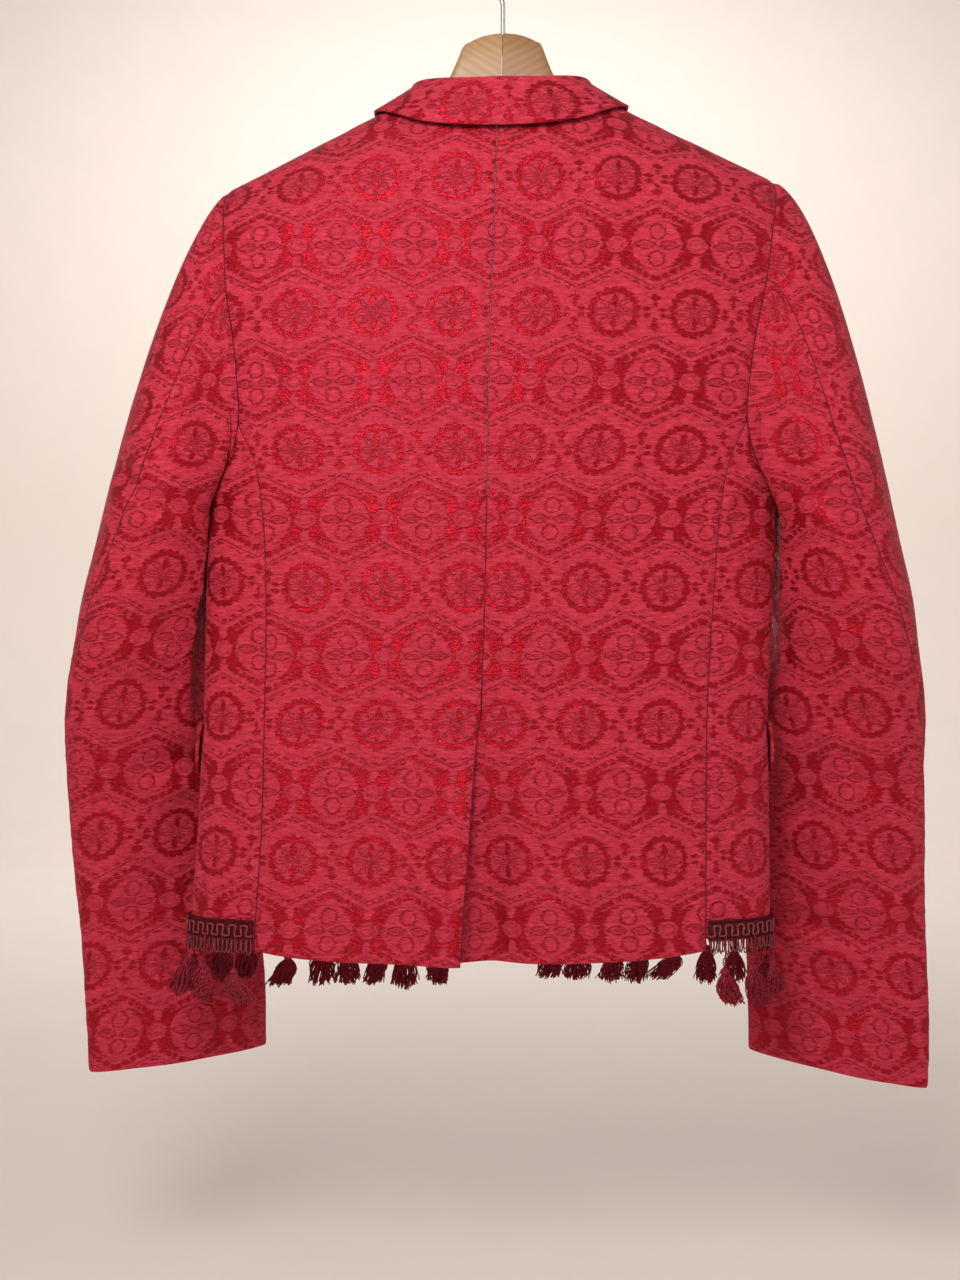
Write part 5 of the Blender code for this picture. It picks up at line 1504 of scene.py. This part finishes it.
def brocade(name, across=0.0, down=0.0):
    """Brocade with its repeat moved along the cut by across and down, in metres. Each weave goes
    from painted shade in the puckers' hollows to a lighter colour on their tops, and painted shade
    darkens the seams."""
    looks = bpy.context.scene.blazer_looks
    material, tree, places = blank_material(name)
    weave = group_node(tree, "Medallion brocade", medallion_group, {
        "Place": places["UV"], "Across": across, "Down": down,
    })
    figure, blotch, crinkle = weave["Figure"], weave["Blotch"], weave["Crinkle"]
    # Painted shade along the seams: the seam colour is mixed in within a set width of each seam,
    # and the satin's metal look is taken out there.
    seam = place_in(tree, "ShaderNodeAttribute", attribute_name="Seam")
    seam_painted_shade = (Term(tree, seam.outputs["Fac"]) * 1000.0 - looks.seam_line).inside(0.45)
    # Painted shade and highlight: the crinkle that raises the puckers also mixes each weave from
    # its painted shade in their hollows to a lighter colour on their tops.
    pucker_painted_shade = (crinkle - 0.28).made("MULTIPLY", 2.0, clamp=True)
    top = blended(tree, pucker_painted_shade, looks.figure_shade, looks.figure)
    low = blended(tree, pucker_painted_shade, looks.ground_shade, looks.ground)
    colour = blended(tree, seam_painted_shade, blended(tree, figure, low, top), looks.seam)
    rough = figure * (looks.figure_rough - looks.ground_rough) + looks.ground_rough
    metal = figure * (looks.figure_metal - looks.ground_metal) + looks.ground_metal
    return finish(
        material, colour, rough + (blotch - 0.5) * 0.12, metal.without(seam_painted_shade),
        figure * 0.55 + crinkle * 0.85 + weave["Weave"] * 0.10 + blotch * 0.5, 0.0013,
        Sheen_Weight=0.03, Sheen_Roughness=0.5, Specular_IOR_Level=0.2,
    )


def threads(name, colour, shade, rough=0.6, pitch=900.0, shine=0.12):
    """Cords and loose threads, with painted shade between their turns."""
    material, tree, places = blank_material(name)
    twist = group_node(tree, "Twisted thread", thread_group, {
        "Place": places["Object"], "Pitch": pitch,
    })
    # Painted shade: the twist mask, mixed with random fuzz, darkens the colour towards the shade
    # colour between the turns.
    mask = twist["Twist"] * 0.55 + twist["Fuzz"] * 0.45
    return finish(
        material, blended(tree, mask, shade, colour), twist["Fuzz"] * 0.2 + (rough - 0.1),
        height=mask, distance=0.0004, Specular_IOR_Level=shine,
    )


def wood(name, light, turn):
    """Varnished wood: long grain lines bent by soft noise, with fine pores."""
    material, tree, places = blank_material(name)
    place = place_in(tree, "ShaderNodeMapping", {
        "Vector": places["Object"], "Rotation": (0.0, turn, 0.0),
    }).outputs[0]
    bend = noise(tree, place, 26.0, 2.0, (0.35, 1.0, 1.0))
    _, y, z = split(tree, place)
    rings = ((z * 1000.0 + y * 420.0) * 1.1 + bend * 14.0).wave() * 0.5 + 0.5
    pores = noise(tree, place, 900.0, 2.0, (0.06, 1.0, 1.0))
    fleck = noise(tree, place, 210.0, 3.0, (0.12, 1.0, 1.0))
    mask = rings * 0.35 + pores * 0.25 + fleck * 0.4
    return finish(
        material, blended(tree, mask, [c * 0.55 for c in light], light), pores * 0.25 + 0.28,
        height=pores * 0.5 + rings * 0.2, distance=0.00012, Coat_Weight=0.25, Coat_Roughness=0.2,
    )


def steel(name):
    """Drawn wire, slightly worn."""
    material, tree, places = blank_material(name)
    wear = noise(tree, places["Object"], 260.0, 3.0)
    lines = noise(tree, places["Object"], 1500.0, 1.0, (1.0, 1.0, 0.08))
    return finish(
        material, blended(tree, wear, (0.34, 0.33, 0.31), (0.62, 0.60, 0.57)),
        wear * 0.2 + 0.2, 1.0, lines, 0.00004,
    )


def horn(name):
    """Dark polished horn, clouded."""
    material, tree, places = blank_material(name)
    cloud = noise(tree, places["Object"], 240.0, 3.0, (1.0, 1.0, 2.2), 0.6)
    return finish(
        material, blended(tree, cloud, (0.012, 0.004, 0.004), (0.09, 0.018, 0.016)),
        cloud * 0.15 + 0.22, height=cloud, distance=0.00008, Coat_Weight=0.4, Coat_Roughness=0.15,
    )


def plain_wall(name, colour):
    """Matt paint, a little uneven."""
    material, tree, places = blank_material(name)
    rough = noise(tree, places["Object"], 9.0, 3.0)
    paler = [min(1.0, c * 1.04) for c in colour]
    return finish(material, blended(tree, rough, colour, paler), 0.92, height=rough, distance=0.002)


# Strands: cords, loops and tassels


def ring_faces(count, stations, sides):
    """Faces of closed tubes whose points are (count, stations, sides), and whose end points
    follow them as (count, 2). Each end is a fan of four-cornered faces round its point."""
    index = np.arange(count * stations * sides).reshape(count, stations, sides)
    wrapped = np.concatenate([index, index[..., :1]], axis=-1)
    faces = [quads(wrapped)]
    tips = index.size + np.arange(2 * count).reshape(count, 2)
    for station, tip in ((0, 0), (-1, 1)):
        for k in range(0, sides, 2):
            trio = [wrapped[:, station, k + j] for j in range(3)]
            face = np.stack([tips[:, tip], *trio], axis=-1)
            faces.append(face[:, ::-1] if tip == 0 else face)
    return np.concatenate(faces)


def tubes(lines, radii, sides):
    """Round strands along lines (strands, stations, 3) with radii (strands, stations). A
    ring is cos(a) p + sin(a) q, where p and q stand square to the strand."""
    lines = np.asarray(lines, float)
    run = unit(np.gradient(lines, axis=1), 1e-12)
    aside = unit(np.cross(run, np.broadcast_to((0.31, 0.83, 0.46), run.shape)), 1e-12)
    other = np.cross(run, aside)
    turn = np.arange(sides)[:, None] * 2 * np.pi / sides
    ring = np.cos(turn) * aside[:, :, None] + np.sin(turn) * other[:, :, None]
    points = lines[:, :, None] + ring * np.broadcast_to(radii, lines.shape[:2])[..., None, None]
    ends = lines[:, [0, -1]]
    faces = ring_faces(*points.shape[:3])
    points = np.concatenate([points.reshape(-1, 3), ends.reshape(-1, 3)])
    return points, faces


def lofted(rings):
    """One closed form through rings (stations, sides, 3), its ends closed at their middles."""
    ends = rings[[0, -1]].mean(1)
    return np.concatenate([rings.reshape(-1, 3), ends]), ring_faces(1, *rings.shape[:2])


class Hem:
    """A hem that trim is sewn to. at(run, fall, off) gives points at lengths along it, below
    or above its edge and off the cloth, with the level ways out from it."""

    def __init__(self, line, ends):
        self.line, self.start = line, ends[0]
        self.whole = lengths(on_surface(line))[-1]
        self.long = (ends[1] - ends[0]) * self.whole

    def at(self, run, fall, off):
        run, fall, off = np.broadcast_arrays(*(np.asarray(v, float) for v in (run, fall, off)))
        share = self.start + run / self.whole
        flat = resampled(self.line, share.ravel()).reshape(*share.shape, 2)
        flat[..., 1] += fall
        points, normals = on_body(flat)
        normals = unit(normals * (1, 1, 0))
        return points + normals * (CLEAR + off)[..., None], normals


def gimp_braid(hem, seed):
    """A woven band, two cords in squarish waves along its middle, tanh(WAVE_SQUARE
    sin(phase)), a cord along each edge, and two rows of short loops below it. It gives what
    has the band's colour and what has the cord's."""
    dice = np.random.default_rng(seed)
    made, cord = [], []
    run = np.linspace(0, hem.long, max(8, int(hem.long / 0.0022)))
    falls = BRAID_TOP + (BRAID_BOTTOM - BRAID_TOP) * np.linspace(0, 1, 9)
    bulge = 0.0011 + 0.0003 * np.sin(np.pi * np.linspace(0, 1, 9))
    outer, _ = hem.at(run[None, :], falls[:, None], bulge[:, None])
    inner, _ = hem.at(run[None, :], falls[:, None], 0.0001)
    band = np.concatenate([outer.reshape(-1, 3), inner.reshape(-1, 3)])
    faces = wall_faces(len(falls), len(run))
    if volume_inside(band, faces) < 0:
        faces = faces[:, ::-1]
    made.append((band, faces))
    middle = (BRAID_TOP + BRAID_BOTTOM) / 2
    run = np.linspace(0.001, hem.long - 0.001, int(hem.long / 0.0005))
    phase = 2 * np.pi * run / WAVE_LONG + 0.35 * np.sin(run * 190)
    wave = np.tanh(WAVE_SQUARE * np.sin(phase)) / np.tanh(WAVE_SQUARE)
    for shift in (-0.00055, 0.00055):
        line, _ = hem.at(
            run - 0.0013 * np.sin(2 * phase),
            middle + WAVE_TALL * wave + shift * np.cos(phase), 0.0021 + 0.3 * abs(shift),
        )
        cord.append(tubes(line[None], BRAID_CORD, 6))
    for fall, thick in zip((BRAID_TOP + 0.0008, BRAID_BOTTOM - 0.0008), EDGE_CORDS):
        run = np.linspace(0.0006, hem.long - 0.0006, int(hem.long / 0.0022))
        line, _ = hem.at(run, fall + 0.0003 * np.sin(run * 2900), 0.0014)
        made.append(tubes(line[None], thick, 6))
    for row, (low, off, pitch) in enumerate(LOOPS):
        count = int(hem.long / pitch)
        middles = np.linspace(0.0016, hem.long - 0.0016, count) + 0.0005 * row
        t = np.linspace(0, 1, 9)[None, :]
        drop = low * (1 + dice.uniform(-0.16, 0.14, (count, 1)))
        lean = dice.normal(0, 0.0008, (count, 1))
        wide = 0.52 * pitch * dice.uniform(0.8, 1.25, (count, 1))
        round_it = np.sin(np.pi * t) ** 0.7
        aside = wide * np.cos(np.pi * t) * (0.6 + 0.5 * round_it)
        run = np.clip(middles[:, None] - aside + lean * round_it, 0.0004, hem.long - 0.0004)
        out = off + 0.0005 * dice.uniform(-1, 1, (count, 1)) * round_it
        line, _ = hem.at(run, BRAID_BOTTOM - 0.0012 + drop * round_it, out)
        (made, cord)[row].append(tubes(line, STRAND, 4))
    return made, cord


def tassels(hem, seed):
    """Tassels below the braid: a cord in two twisted strands, a bound head, and a skirt of
    threads that spread from the head, r = r0 + (r1 - r0) sin(0.65 pi t), and close a little
    at the end, each with its own lean."""
    looks = bpy.context.scene.blazer_looks
    dice = np.random.default_rng(seed)
    count = max(1, round(hem.long / TASSEL_PITCH))
    middles = hem.long * (np.arange(count) + 0.5) / count
    made = []
    for middle in middles:
        middle = middle + dice.uniform(-0.0020, 0.0020)
        swing = dice.normal(0, 0.0016)
        head_top = SKIRT_BOTTOM + CORD_LONG * dice.uniform(0.55, 1.05)
        t = np.linspace(0, 1, 16)
        for strand in (0, 1):
            turn = 9 * np.pi * t + strand * np.pi
            fall = BRAID_BOTTOM - 0.003 + (head_top - BRAID_BOTTOM + 0.004) * t
            line, _ = hem.at(
                middle + STRAND * np.sin(turn) + swing * t**2, fall, 0.0024 + STRAND * np.cos(turn)
            )
            made.append(tubes(line[None], TASSEL_CORD, 6))
        (centre,), (away,) = hem.at(np.array([middle + swing]), np.array([head_top]), 0.0026)
        way = np.array([-away[1], away[0], 0.0])
        down = np.array([0, 0, 1.0])
        h = np.linspace(0, 1, 15)[:, None, None]
        turn = np.linspace(0, 2 * np.pi, 18, endpoint=False)[None, :, None]
        shape = np.sqrt(np.clip(1 - (2 * h - 1) ** 2 * 0.86, 0, 1))
        binding = 1 - 0.07 * np.cos(2 * np.pi * 5 * h)
        radius = TASSEL_HEAD * dice.uniform(0.9, 1.12) * shape * binding
        head = centre + down * (h * HEAD_LONG) + radius * (
            way * np.cos(turn) + away * 0.85 * np.sin(turn)
        )
        made.append(lofted(head))
        strands = looks.tassel_threads
        turn = dice.uniform(0, 2 * np.pi, (strands, 1))
        deep = np.sqrt(dice.uniform(0.02, 1, (strands, 1)))
        t = np.linspace(0, 1, 6)[None, :]
        long = (TASSEL_LONG - HEAD_LONG) * dice.uniform(0.86, 1.10)
        long = long * dice.uniform(0.86, 1.06, (strands, 1))
        spread = dice.uniform(*SKIRT_SPREAD)
        flare = np.sin(np.pi / 2 * np.minimum(1.3 * t, 1)) - 0.22 * np.maximum(t - 0.7, 0)
        radius = deep * (SKIRT_HALF + (spread - SKIRT_HALF) * flare)
        radius = radius * dice.uniform(0.85, 1.15, (strands, 1))
        long = long * (1 - 0.16 * deep**2)
        sway = dice.normal(0, 0.0052, 2)
        curl = dice.normal(0, 0.0016, (strands, 2, 1))
        bend = np.sin(np.pi * t * 1.4)
        aside = radius * np.cos(turn) + sway[0] * t**1.6 + curl[:, 0] * bend
        out = radius * 0.62 * np.sin(turn) + abs(sway[1]) * 0.4 * t**1.6 + curl[:, 1] * bend
        out = np.abs(out + 0.001) - 0.001
        fall = HEAD_LONG * 0.8 + long * t
        line = centre + down * fall[..., None] + way * aside[..., None] + away * out[..., None]
        made.append(tubes(line, np.broadcast_to(THREAD - THREAD_THINS * t, line.shape[:2]), 4))
    return made


def joined(parts):
    """Several (points, faces) as one."""
    shift = np.cumsum([0, *(len(p) for p, _ in parts[:-1])])
    return (
        np.concatenate([p for p, _ in parts]),
        np.concatenate([f + s for (_, f), s in zip(parts, shift)]),
    )


def side_hem_line():
    """The side panel's hem, from the side back seam to the side front seam."""
    start, end = (
        around_at(through(seam, 1, SIDE_HEM), SIDE_HEM, front)
        for seam, front in ((SIDE_BACK_SEAM, False), (SIDE_FRONT_SEAM, True))
    )
    return np.stack([np.linspace(float(start), float(end), 40), np.full(40, SIDE_HEM)], axis=1)


# Stage, camera and light


def camera_at(place, lens):
    """A level camera that looks along -Y."""
    camera = bpy.data.cameras.new("Camera")
    camera.lens, camera.sensor_width = lens, 36.0
    made = linked("Camera", camera)
    made.location = place
    made.rotation_euler = (math.radians(90), 0, math.radians(180))
    bpy.context.scene.camera = made


def lamp(name, place, towards, size, power, colour):
    light = bpy.data.lights.new(name, "AREA")
    light.shape, light.size, light.energy, light.color = "DISK", size, power, colour
    made = linked(name, light)
    made.location = place
    way = unit(np.subtract(towards, place))
    made.rotation_euler = (math.acos(-way[2]), 0, math.atan2(way[1], way[0]) - math.pi / 2)


def backdrop(floor, radius, corner, tall, material):
    """A round pale room: a floor, a quarter circle up, and a wall, open at the top."""
    bend, sides = np.linspace(0, np.pi / 2, 14), 96
    profile = np.concatenate([
        [(0.6, floor)],
        np.stack([radius - corner + corner * np.sin(bend), floor + corner * (1 - np.cos(bend))], 1),
        [(radius, floor + tall)],
    ])
    turn = np.linspace(0, 2 * np.pi, sides, endpoint=False)
    x = profile[:, :1] * np.cos(turn)
    y = profile[:, :1] * np.sin(turn)
    z = np.broadcast_to(profile[:, 1:], x.shape)
    points = np.concatenate([np.stack([x, y, z], -1).reshape(-1, 3), [(0, 0, floor)]])
    index = np.arange(x.size).reshape(x.shape)
    index = np.concatenate([index, index[:, :1]], axis=1)
    rim = index[0]
    fan = np.stack([np.full(sides // 2, x.size), rim[0:-1:2], rim[1::2], rim[2::2]], axis=-1)
    faces = np.concatenate([quads(index), fan[:, ::-1]])
    mesh = bpy.data.meshes.new("Backdrop")
    mesh.from_pydata(points.tolist(), [], faces.tolist())
    mesh.materials.append(material)
    mesh.shade_smooth()
    linked("Backdrop", mesh)


# Settings, operators and the panel


def tone(name, about, value):
    return FloatVectorProperty(
        name=name, description=about, subtype="COLOR", size=3, min=0.0, max=1.0, default=value
    )


def share(name, about, value, top=1.0):
    return FloatProperty(
        name=name, description=about, subtype="FACTOR", min=0.0, max=top, default=value
    )


def length(name, about, value):
    return FloatProperty(name=name, description=about, unit="LENGTH", default=value)


def power(name, value):
    return FloatProperty(name=name, description="Power in watts", unit="POWER", default=value)


class BlazerLooks(bpy.types.PropertyGroup):
    """Colours and finish of the cloth, trim, wood and backdrop."""

    # Painted highlight and shade of the puckers: figure is the raised weave's own colour, lightened
    # as painted highlight on the puckers' tops, ground is the satin's colour there, and both shade
    # colours are painted shade in the puckers' hollows.
    figure: tone("Figure", "Raised weave of the brocade", (0.70, 0.048, 0.096))
    figure_shade: tone("Figure in folds", "Raised weave between its puckers", (0.38, 0.010, 0.028))
    ground: tone("Ground", "Satin ground of the brocade", (0.50, 0.007, 0.026))
    ground_shade: tone("Ground in folds", "Satin between its puckers", (0.28, 0.002, 0.009))
    figure_rough: share("Figure roughness", "Roughness of the raised weave", 0.78)
    ground_rough: share("Ground roughness", "Roughness of the satin", 0.42)
    figure_metal: share("Figure metal", "Metallic look of the raised weave", 0.05)
    ground_metal: share("Ground metal", "Metallic look of the satin", 0.62)
    # Painted shade: the dark colour laid along the seams, and the half width of that line.
    seam: tone("Seam", "Bottom of the seams", (0.11, 0.003, 0.009))
    seam_line: FloatProperty(
        name="Seam width", description="Half width of a seam's dark line, in millimetres", min=0.0,
        max=3.0, default=0.45
    )
    creases: share("Creases", "How deep the folds and creases are", 1.0, 2.0)
    wine: tone("Trim", "Gimp braid and its fringe", (0.125, 0.006, 0.011))
    wine_shade: tone("Trim in shade", "Between the threads of the trim", (0.030, 0.001, 0.003))
    cord: tone("Cord", "Serpentine cord of the braid", (0.46, 0.060, 0.075))
    tassel: tone("Tassel", "Threads of the tassels", (0.44, 0.026, 0.052))
    wood_light: tone("Wood, left", "Grain of the hanger's left half", (0.50, 0.30, 0.14))
    wood_dark: tone("Wood, right", "Grain of the hanger's right half", (0.38, 0.20, 0.085))
    wall: tone("Backdrop", "Floor and wall behind the blazer", (0.84, 0.770, 0.725))
    tassel_threads: IntProperty(
        name="Threads", description="Threads in each tassel", min=8, max=120, default=84
    )


class BlazerView(bpy.types.PropertyGroup):
    """The camera and the lamps."""

    camera_side: length("Camera side", "How far left the camera stands", 0.0168)
    camera_back: length("Camera distance", "How far behind the hanger", 1.045)
    camera_height: length("Camera height", "Height of the camera", -0.515)
    lens: FloatProperty(
        name="Lens", description="Focal length in millimetres", min=10.0, max=200.0, default=40.18
    )
    floor: length("Floor", "Height of the floor", -1.05)
    key: power("Key lamp", 11.0)
    fill: power("Fill lamps", 5.0)
    wall_lamp: power("Wall lamp", 38.0)
    air: share("Sky", "Strength of the light from all round", 0.25, 4.0)


class BlazerPiece(bpy.types.Operator):
    """What the operators for pieces share. Most make the same on both sides."""

    bl_options = {"REGISTER", "UNDO"}

    def execute(self, context):
        before = len(bpy.data.objects)
        self.make(context.scene.blazer_looks)
        if len(bpy.data.objects) == before:
            raise RuntimeError(f"{self.bl_label} made nothing")
        return {"FINISHED"}

    def make(self, looks):
        for side, word in WORDS.items():
            self.make_side(looks, side, word)


def body_panel(kind, side, made, seams=SEWN, hems=HEM, half=0, repeat=(0.0, 0.0)):
    """A back, side or front from its surface. Its pattern hangs straight, on a back along the
    slanted line of GRAIN."""
    word, looks = WORDS[side], bpy.context.scene.blazer_looks
    outer, inner = skins(made, side, seams, hems, CREASES, looks.creases, half=half)
    grain = through(GRAIN, 1 if side > 0 else 2, -outer[:, 4, 2]) if kind == "back" else None
    flat = hung_flat(outer, side, grain)
    flat[..., 1] -= DISC_HEIGHT
    cloth(
        f"{kind}_panel_{word}", outer, inner, flat, brocade(f"Brocade {kind} {word}", *repeat),
        f"{kind}_{word}", seams,
    )


def laid_skins(made, side, thick=CLOTH):
    """Both skins of a collar, lapel or flap: free all round, with half the unevenness."""
    return skins(made, side, (), ALL_ROUND, (), 0.5, thick)


class MakeBacks(BlazerPiece):
    """Makes both backs, joined down to the vent"""

    bl_idname = "blazer.make_backs"
    bl_label = "Backs"

    def make_side(self, looks, side, word):
        body_panel("back", side, back_panel(side), half=1)


class MakeSides(BlazerPiece):
    """Makes both side panels"""

    bl_idname = "blazer.make_sides"
    bl_label = "Side panels"

    def make_side(self, looks, side, word):
        body_panel("side", side, side_panel(), repeat=SIDE_REPEAT[side])


class MakeFronts(BlazerPiece):
    """Makes both fronts"""

    bl_idname = "blazer.make_fronts"
    bl_label = "Fronts"

    def make_side(self, looks, side, word):
        seams, hems = ("right", "high"), ("low", "left")
        body_panel("front", side, front_panel(side), seams, hems, half=-1)


class MakeSleeves(BlazerPiece):
    """Makes both halves of both sleeves"""

    bl_idname = "blazer.make_sleeves"
    bl_label = "Sleeves"

    def make_side(self, looks, side, word):
        column = 1 if side > 0 else 3
        for (grid, normals), part, rests_on in zip(
            sleeve_skins(side), ("upper", "under"), ("back_panel", "side_panel")
        ):
            made = grid[::-1], normals[::-1]
            outer, inner = skins(made, side, SEWN, HEM, SLEEVE_CREASES, looks.creases)
            flat = sleeve_flat(grid)[::-1]
            grain = [through(SLEEVE_GRAIN, column + k, -flat[..., 1]) for k in (0, 1)]
            cloth(
                f"sleeve_cloth_{word}_{part}", outer, inner, flat,
                brocade(f"Brocade sleeve {word} {part}"), f"sleeve_{word}_{part}",
                SEWN, np.stack(grain, axis=-1),
            )


class MakeCollar(BlazerPiece):
    """Makes the collar and both lapels"""

    bl_idname = "blazer.make_collar"
    bl_label = "Collar and lapels"

    def make(self, looks):
        outer, inner = laid_skins(collar_skin(), 1, COLLAR_CLOTH)
        flat = laid_flat(outer.swapaxes(0, 1)).swapaxes(0, 1)[..., ::-1]
        cloth(
            "collar_cloth", outer, inner, flat, brocade("Brocade collar"), "collar",
        )
        super().make(looks)

    def make_side(self, looks, side, word):
        outer, inner = laid_skins(lapel_skin(side), side)
        cloth(
            f"lapel_cloth_{word}", outer, inner, laid_flat(outer),
            brocade(f"Brocade lapel {word}", *LAPEL_REPEAT),
            f"lapel_{word}",
        )


class MakeFlaps(BlazerPiece):
    """Makes both pocket flaps"""

    bl_idname = "blazer.make_flaps"
    bl_label = "Pocket flaps"

    def make_side(self, looks, side, word):
        outer, inner = laid_skins(flap_skin(), side)
        cloth(
            f"flap_cloth_{word}", outer, inner, laid_flat(outer),
            brocade(f"Brocade flap {word}", *FLAP_REPEAT),
            f"pocket_flap_{word}",
        )


class MakeTrim(BlazerPiece):
    """Makes the braid, fringe and tassels of all four hems"""

    bl_idname = "blazer.make_trim"
    bl_label = "Trim"

    def make(self, looks):
        braid = threads("Gimp braid", looks.wine, looks.wine_shade, 0.5, 700.0)
        fluff = threads("Tassel threads", looks.tassel, looks.wine_shade, 0.6, 500.0)
        shiny = threads("Gimp cord", looks.cord, looks.wine_shade, 0.34, 1100.0, shine=0.5)
        for side, word in WORDS.items():
            for number, (name, line, ends) in enumerate((
                ("side", side_hem_line(), (0.004, 0.994)),
                ("front", on_front(front_hem_line(side))[::-1], (0.012, 0.97)),
            )):
                hem, seed = Hem(line, ends), 11 + 4 * number + side
                band, cord = gimp_braid(hem, seed)
                for what, parts, stuff in (
                    ("braid", band, braid), ("cord", cord, shiny),
                    ("tassels", tassels(hem, seed + 40), fluff),
                ):
                    points, faces = joined(parts)
                    put(
                        f"{what}_{name}_{word}", settle(points, side), faces, stuff,
                        f"trim_{name}_{word}", sharp=60,
                    )


class MakeButton(BlazerPiece):
    """Makes the button and its thread"""

    bl_idname = "blazer.make_button"
    bl_label = "Button"

    def make(self, looks):
        centre = body(around_at(BUTTON_OUT, BUTTON_DROP, True), BUTTON_DROP)
        profile = numbered(BUTTON_PROFILE)
        at = np.linspace(0.4, len(profile) - 1.4, 60)
        radius = through(profile, 1, at)[:, None] * BUTTON_HALF
        tall = through(profile, 2, at)[:, None] * BUTTON_THICK
        turn = np.linspace(0, 2 * np.pi, 64, endpoint=False)[None, :]
        rings = np.stack([
            centre[0] + radius * np.cos(turn),
            centre[1] - 2 * CLEAR - tall + 0 * turn,
            centre[2] + radius * np.sin(turn),
        ], axis=-1)
        points, faces = lofted(rings)
        put("button_disc", settle(points, -1), faces, horn("Horn"), "front_button")
        t = np.linspace(0, 1, 9)
        top = centre[1] - 2 * CLEAR - BUTTON_PROFILE[-1][1] * BUTTON_THICK
        lines = []
        for shift in (-0.0016, 0.0016):
            for k in range(3):
                x = centre[0] + np.linspace(-0.0019, 0.0019, 9)
                z = np.full(9, centre[2] + shift + 0.0004 * (k - 1))
                lines.append(np.stack([x, top - 0.0008 * np.sin(np.pi * t) + 0.0003, z], axis=1))
        points, faces = tubes(np.array(lines), 0.00024, 6)
        thread = threads("Sewing thread", (0.30, 0.02, 0.04), (0.12, 0.01, 0.02), 0.6, 1500.0)
        put("button_thread", settle(points, -1), faces, thread)


class MakeHanger(BlazerPiece):
    """Makes the hanger's two wooden halves and its hook"""

    bl_idname = "blazer.make_hanger"
    bl_label = "Hanger"

    def make(self, looks):
        turn = np.radians(np.arange(0, 360, 7.5))
        across, tall = (signed(f(turn), 2 / HANGER_SQUARE) for f in (np.cos, np.sin))
        tip, neck = HANGER[-1][0], 0.05
        outs = np.concatenate([np.linspace(0, neck, 40), np.linspace(neck, tip, 70)[1:]])
        for side, word in WORDS.items():
            top, bottom, half = (through(HANGER, k, outs)[:, None] for k in (1, 2, 3))
            out = np.maximum(outs, SEAM / 2)[:, None]
            rings = np.stack([
                out + 0 * across, half * across, (top + bottom) / 2 - tall * (bottom - top) / 2,
            ], axis=-1)
            points, faces = lofted(rings)
            slot = "wood_light" if side > 0 else "wood_dark"
            grain = wood(f"Wood {word}", getattr(looks, slot), 0.48 * side)
            put(
                f"hanger_wood_{word}", settle(points, side), faces, grain, f"hanger_{word}"
            )
        radius = HOOK_INSIDE + WIRE
        turn = np.radians(np.arange(*HOOK_TURN))
        circle = np.stack([radius * np.sin(turn), HOOK_INSIDE - radius * np.cos(turn)], axis=1)
        path = evenly(np.concatenate([HOOK_PATH, circle]), 150) * (1, -1)
        for _ in range(3):
            path[1:-1] = (path[:-2] + 2 * path[1:-1] + path[2:]) / 4
        line = np.stack([path[:, 0], 0 * path[:, 0], path[:, 1]], axis=1)
        line = np.concatenate([line, line[-1:] + (line[-1:] - line[-2:-1]) * 0.3])
        thick = np.r_[np.full(len(line) - 2, WIRE), 0.92 * WIRE, 0.6 * WIRE]
        points, faces = tubes(line[None], thick, 20)
        put("hook_wire", points, faces, steel("Steel"), "hook")


class MakeStage(bpy.types.Operator):
    """Makes the pale room, the camera and the lamps"""

    bl_idname = "blazer.make_stage"
    bl_label = "Stage"

    def execute(self, context):
        scene, view = context.scene, context.scene.blazer_view
        backdrop(view.floor, 3.6, 0.9, 3.4, plain_wall("Pale wall", scene.blazer_looks.wall))
        camera_at((view.camera_side, view.camera_back, view.camera_height), view.lens)
        lamp("Key", (0.26, 1.02, 0.10), (0, 0, -0.32), 0.5, view.key, (1.0, 0.95, 0.90))
        lamp("Fill left", (1.9, 1.1, 0.3), (0, 0, -0.45), 1.4, view.fill, (1.0, 0.97, 0.94))
        lamp("Fill right", (-1.7, 0.9, 0.4), (0, 0, -0.30), 1.4, 1.9 * view.fill, (0.98, 0.98, 1.0))
        lamp("Front", (0.5, -2.1, 0.9), (0, 0, -0.45), 1.8, 1.2 * view.fill, (1.0, 0.98, 0.95))
        lamp("Wall", (0.0, -1.9, 1.3), (0, -3.6, -0.35), 1.6, view.wall_lamp, (1.0, 0.97, 0.93))
        world = bpy.data.worlds.new("Sky")
        world.use_nodes = True
        sky = world.node_tree.nodes["Background"]
        sky.inputs["Color"].default_value = (1.0, 0.965, 0.93, 1.0)
        sky.inputs["Strength"].default_value = view.air
        scene.world = world
        scene.view_settings.view_transform = "Standard"
        return {"FINISHED"}


PIECES = (
    MakeBacks, MakeSides, MakeFronts, MakeSleeves, MakeCollar, MakeFlaps, MakeTrim, MakeButton,
    MakeHanger, MakeStage,
)


class BlazerPanel(bpy.types.Panel):
    """Lists the pieces of the blazer with their settings"""

    bl_idname = "VIEW3D_PT_blazer"
    bl_label = "Brocade blazer"
    bl_space_type = "VIEW_3D"
    bl_region_type = "UI"
    bl_category = "Blazer"

    def draw(self, context):
        for piece in PIECES:
            self.layout.operator(piece.bl_idname, text=piece.bl_label)
        for group in (context.scene.blazer_looks, context.scene.blazer_view):
            for name in group.__annotations__:
                self.layout.prop(group, name)


CLASSES = (BlazerLooks, BlazerView, *PIECES, BlazerPanel)


def register():
    for kind in CLASSES:
        bpy.utils.register_class(kind)
    bpy.types.Scene.blazer_looks = PointerProperty(type=BlazerLooks)
    bpy.types.Scene.blazer_view = PointerProperty(type=BlazerView)


def unregister():
    del bpy.types.Scene.blazer_view, bpy.types.Scene.blazer_looks
    for kind in reversed(CLASSES):
        bpy.utils.unregister_class(kind)


def main():
    register()
    for piece in PIECES:
        group, name = piece.bl_idname.split(".")
        getattr(getattr(bpy.ops, group), name)()


if __name__ == "__main__":
    main()
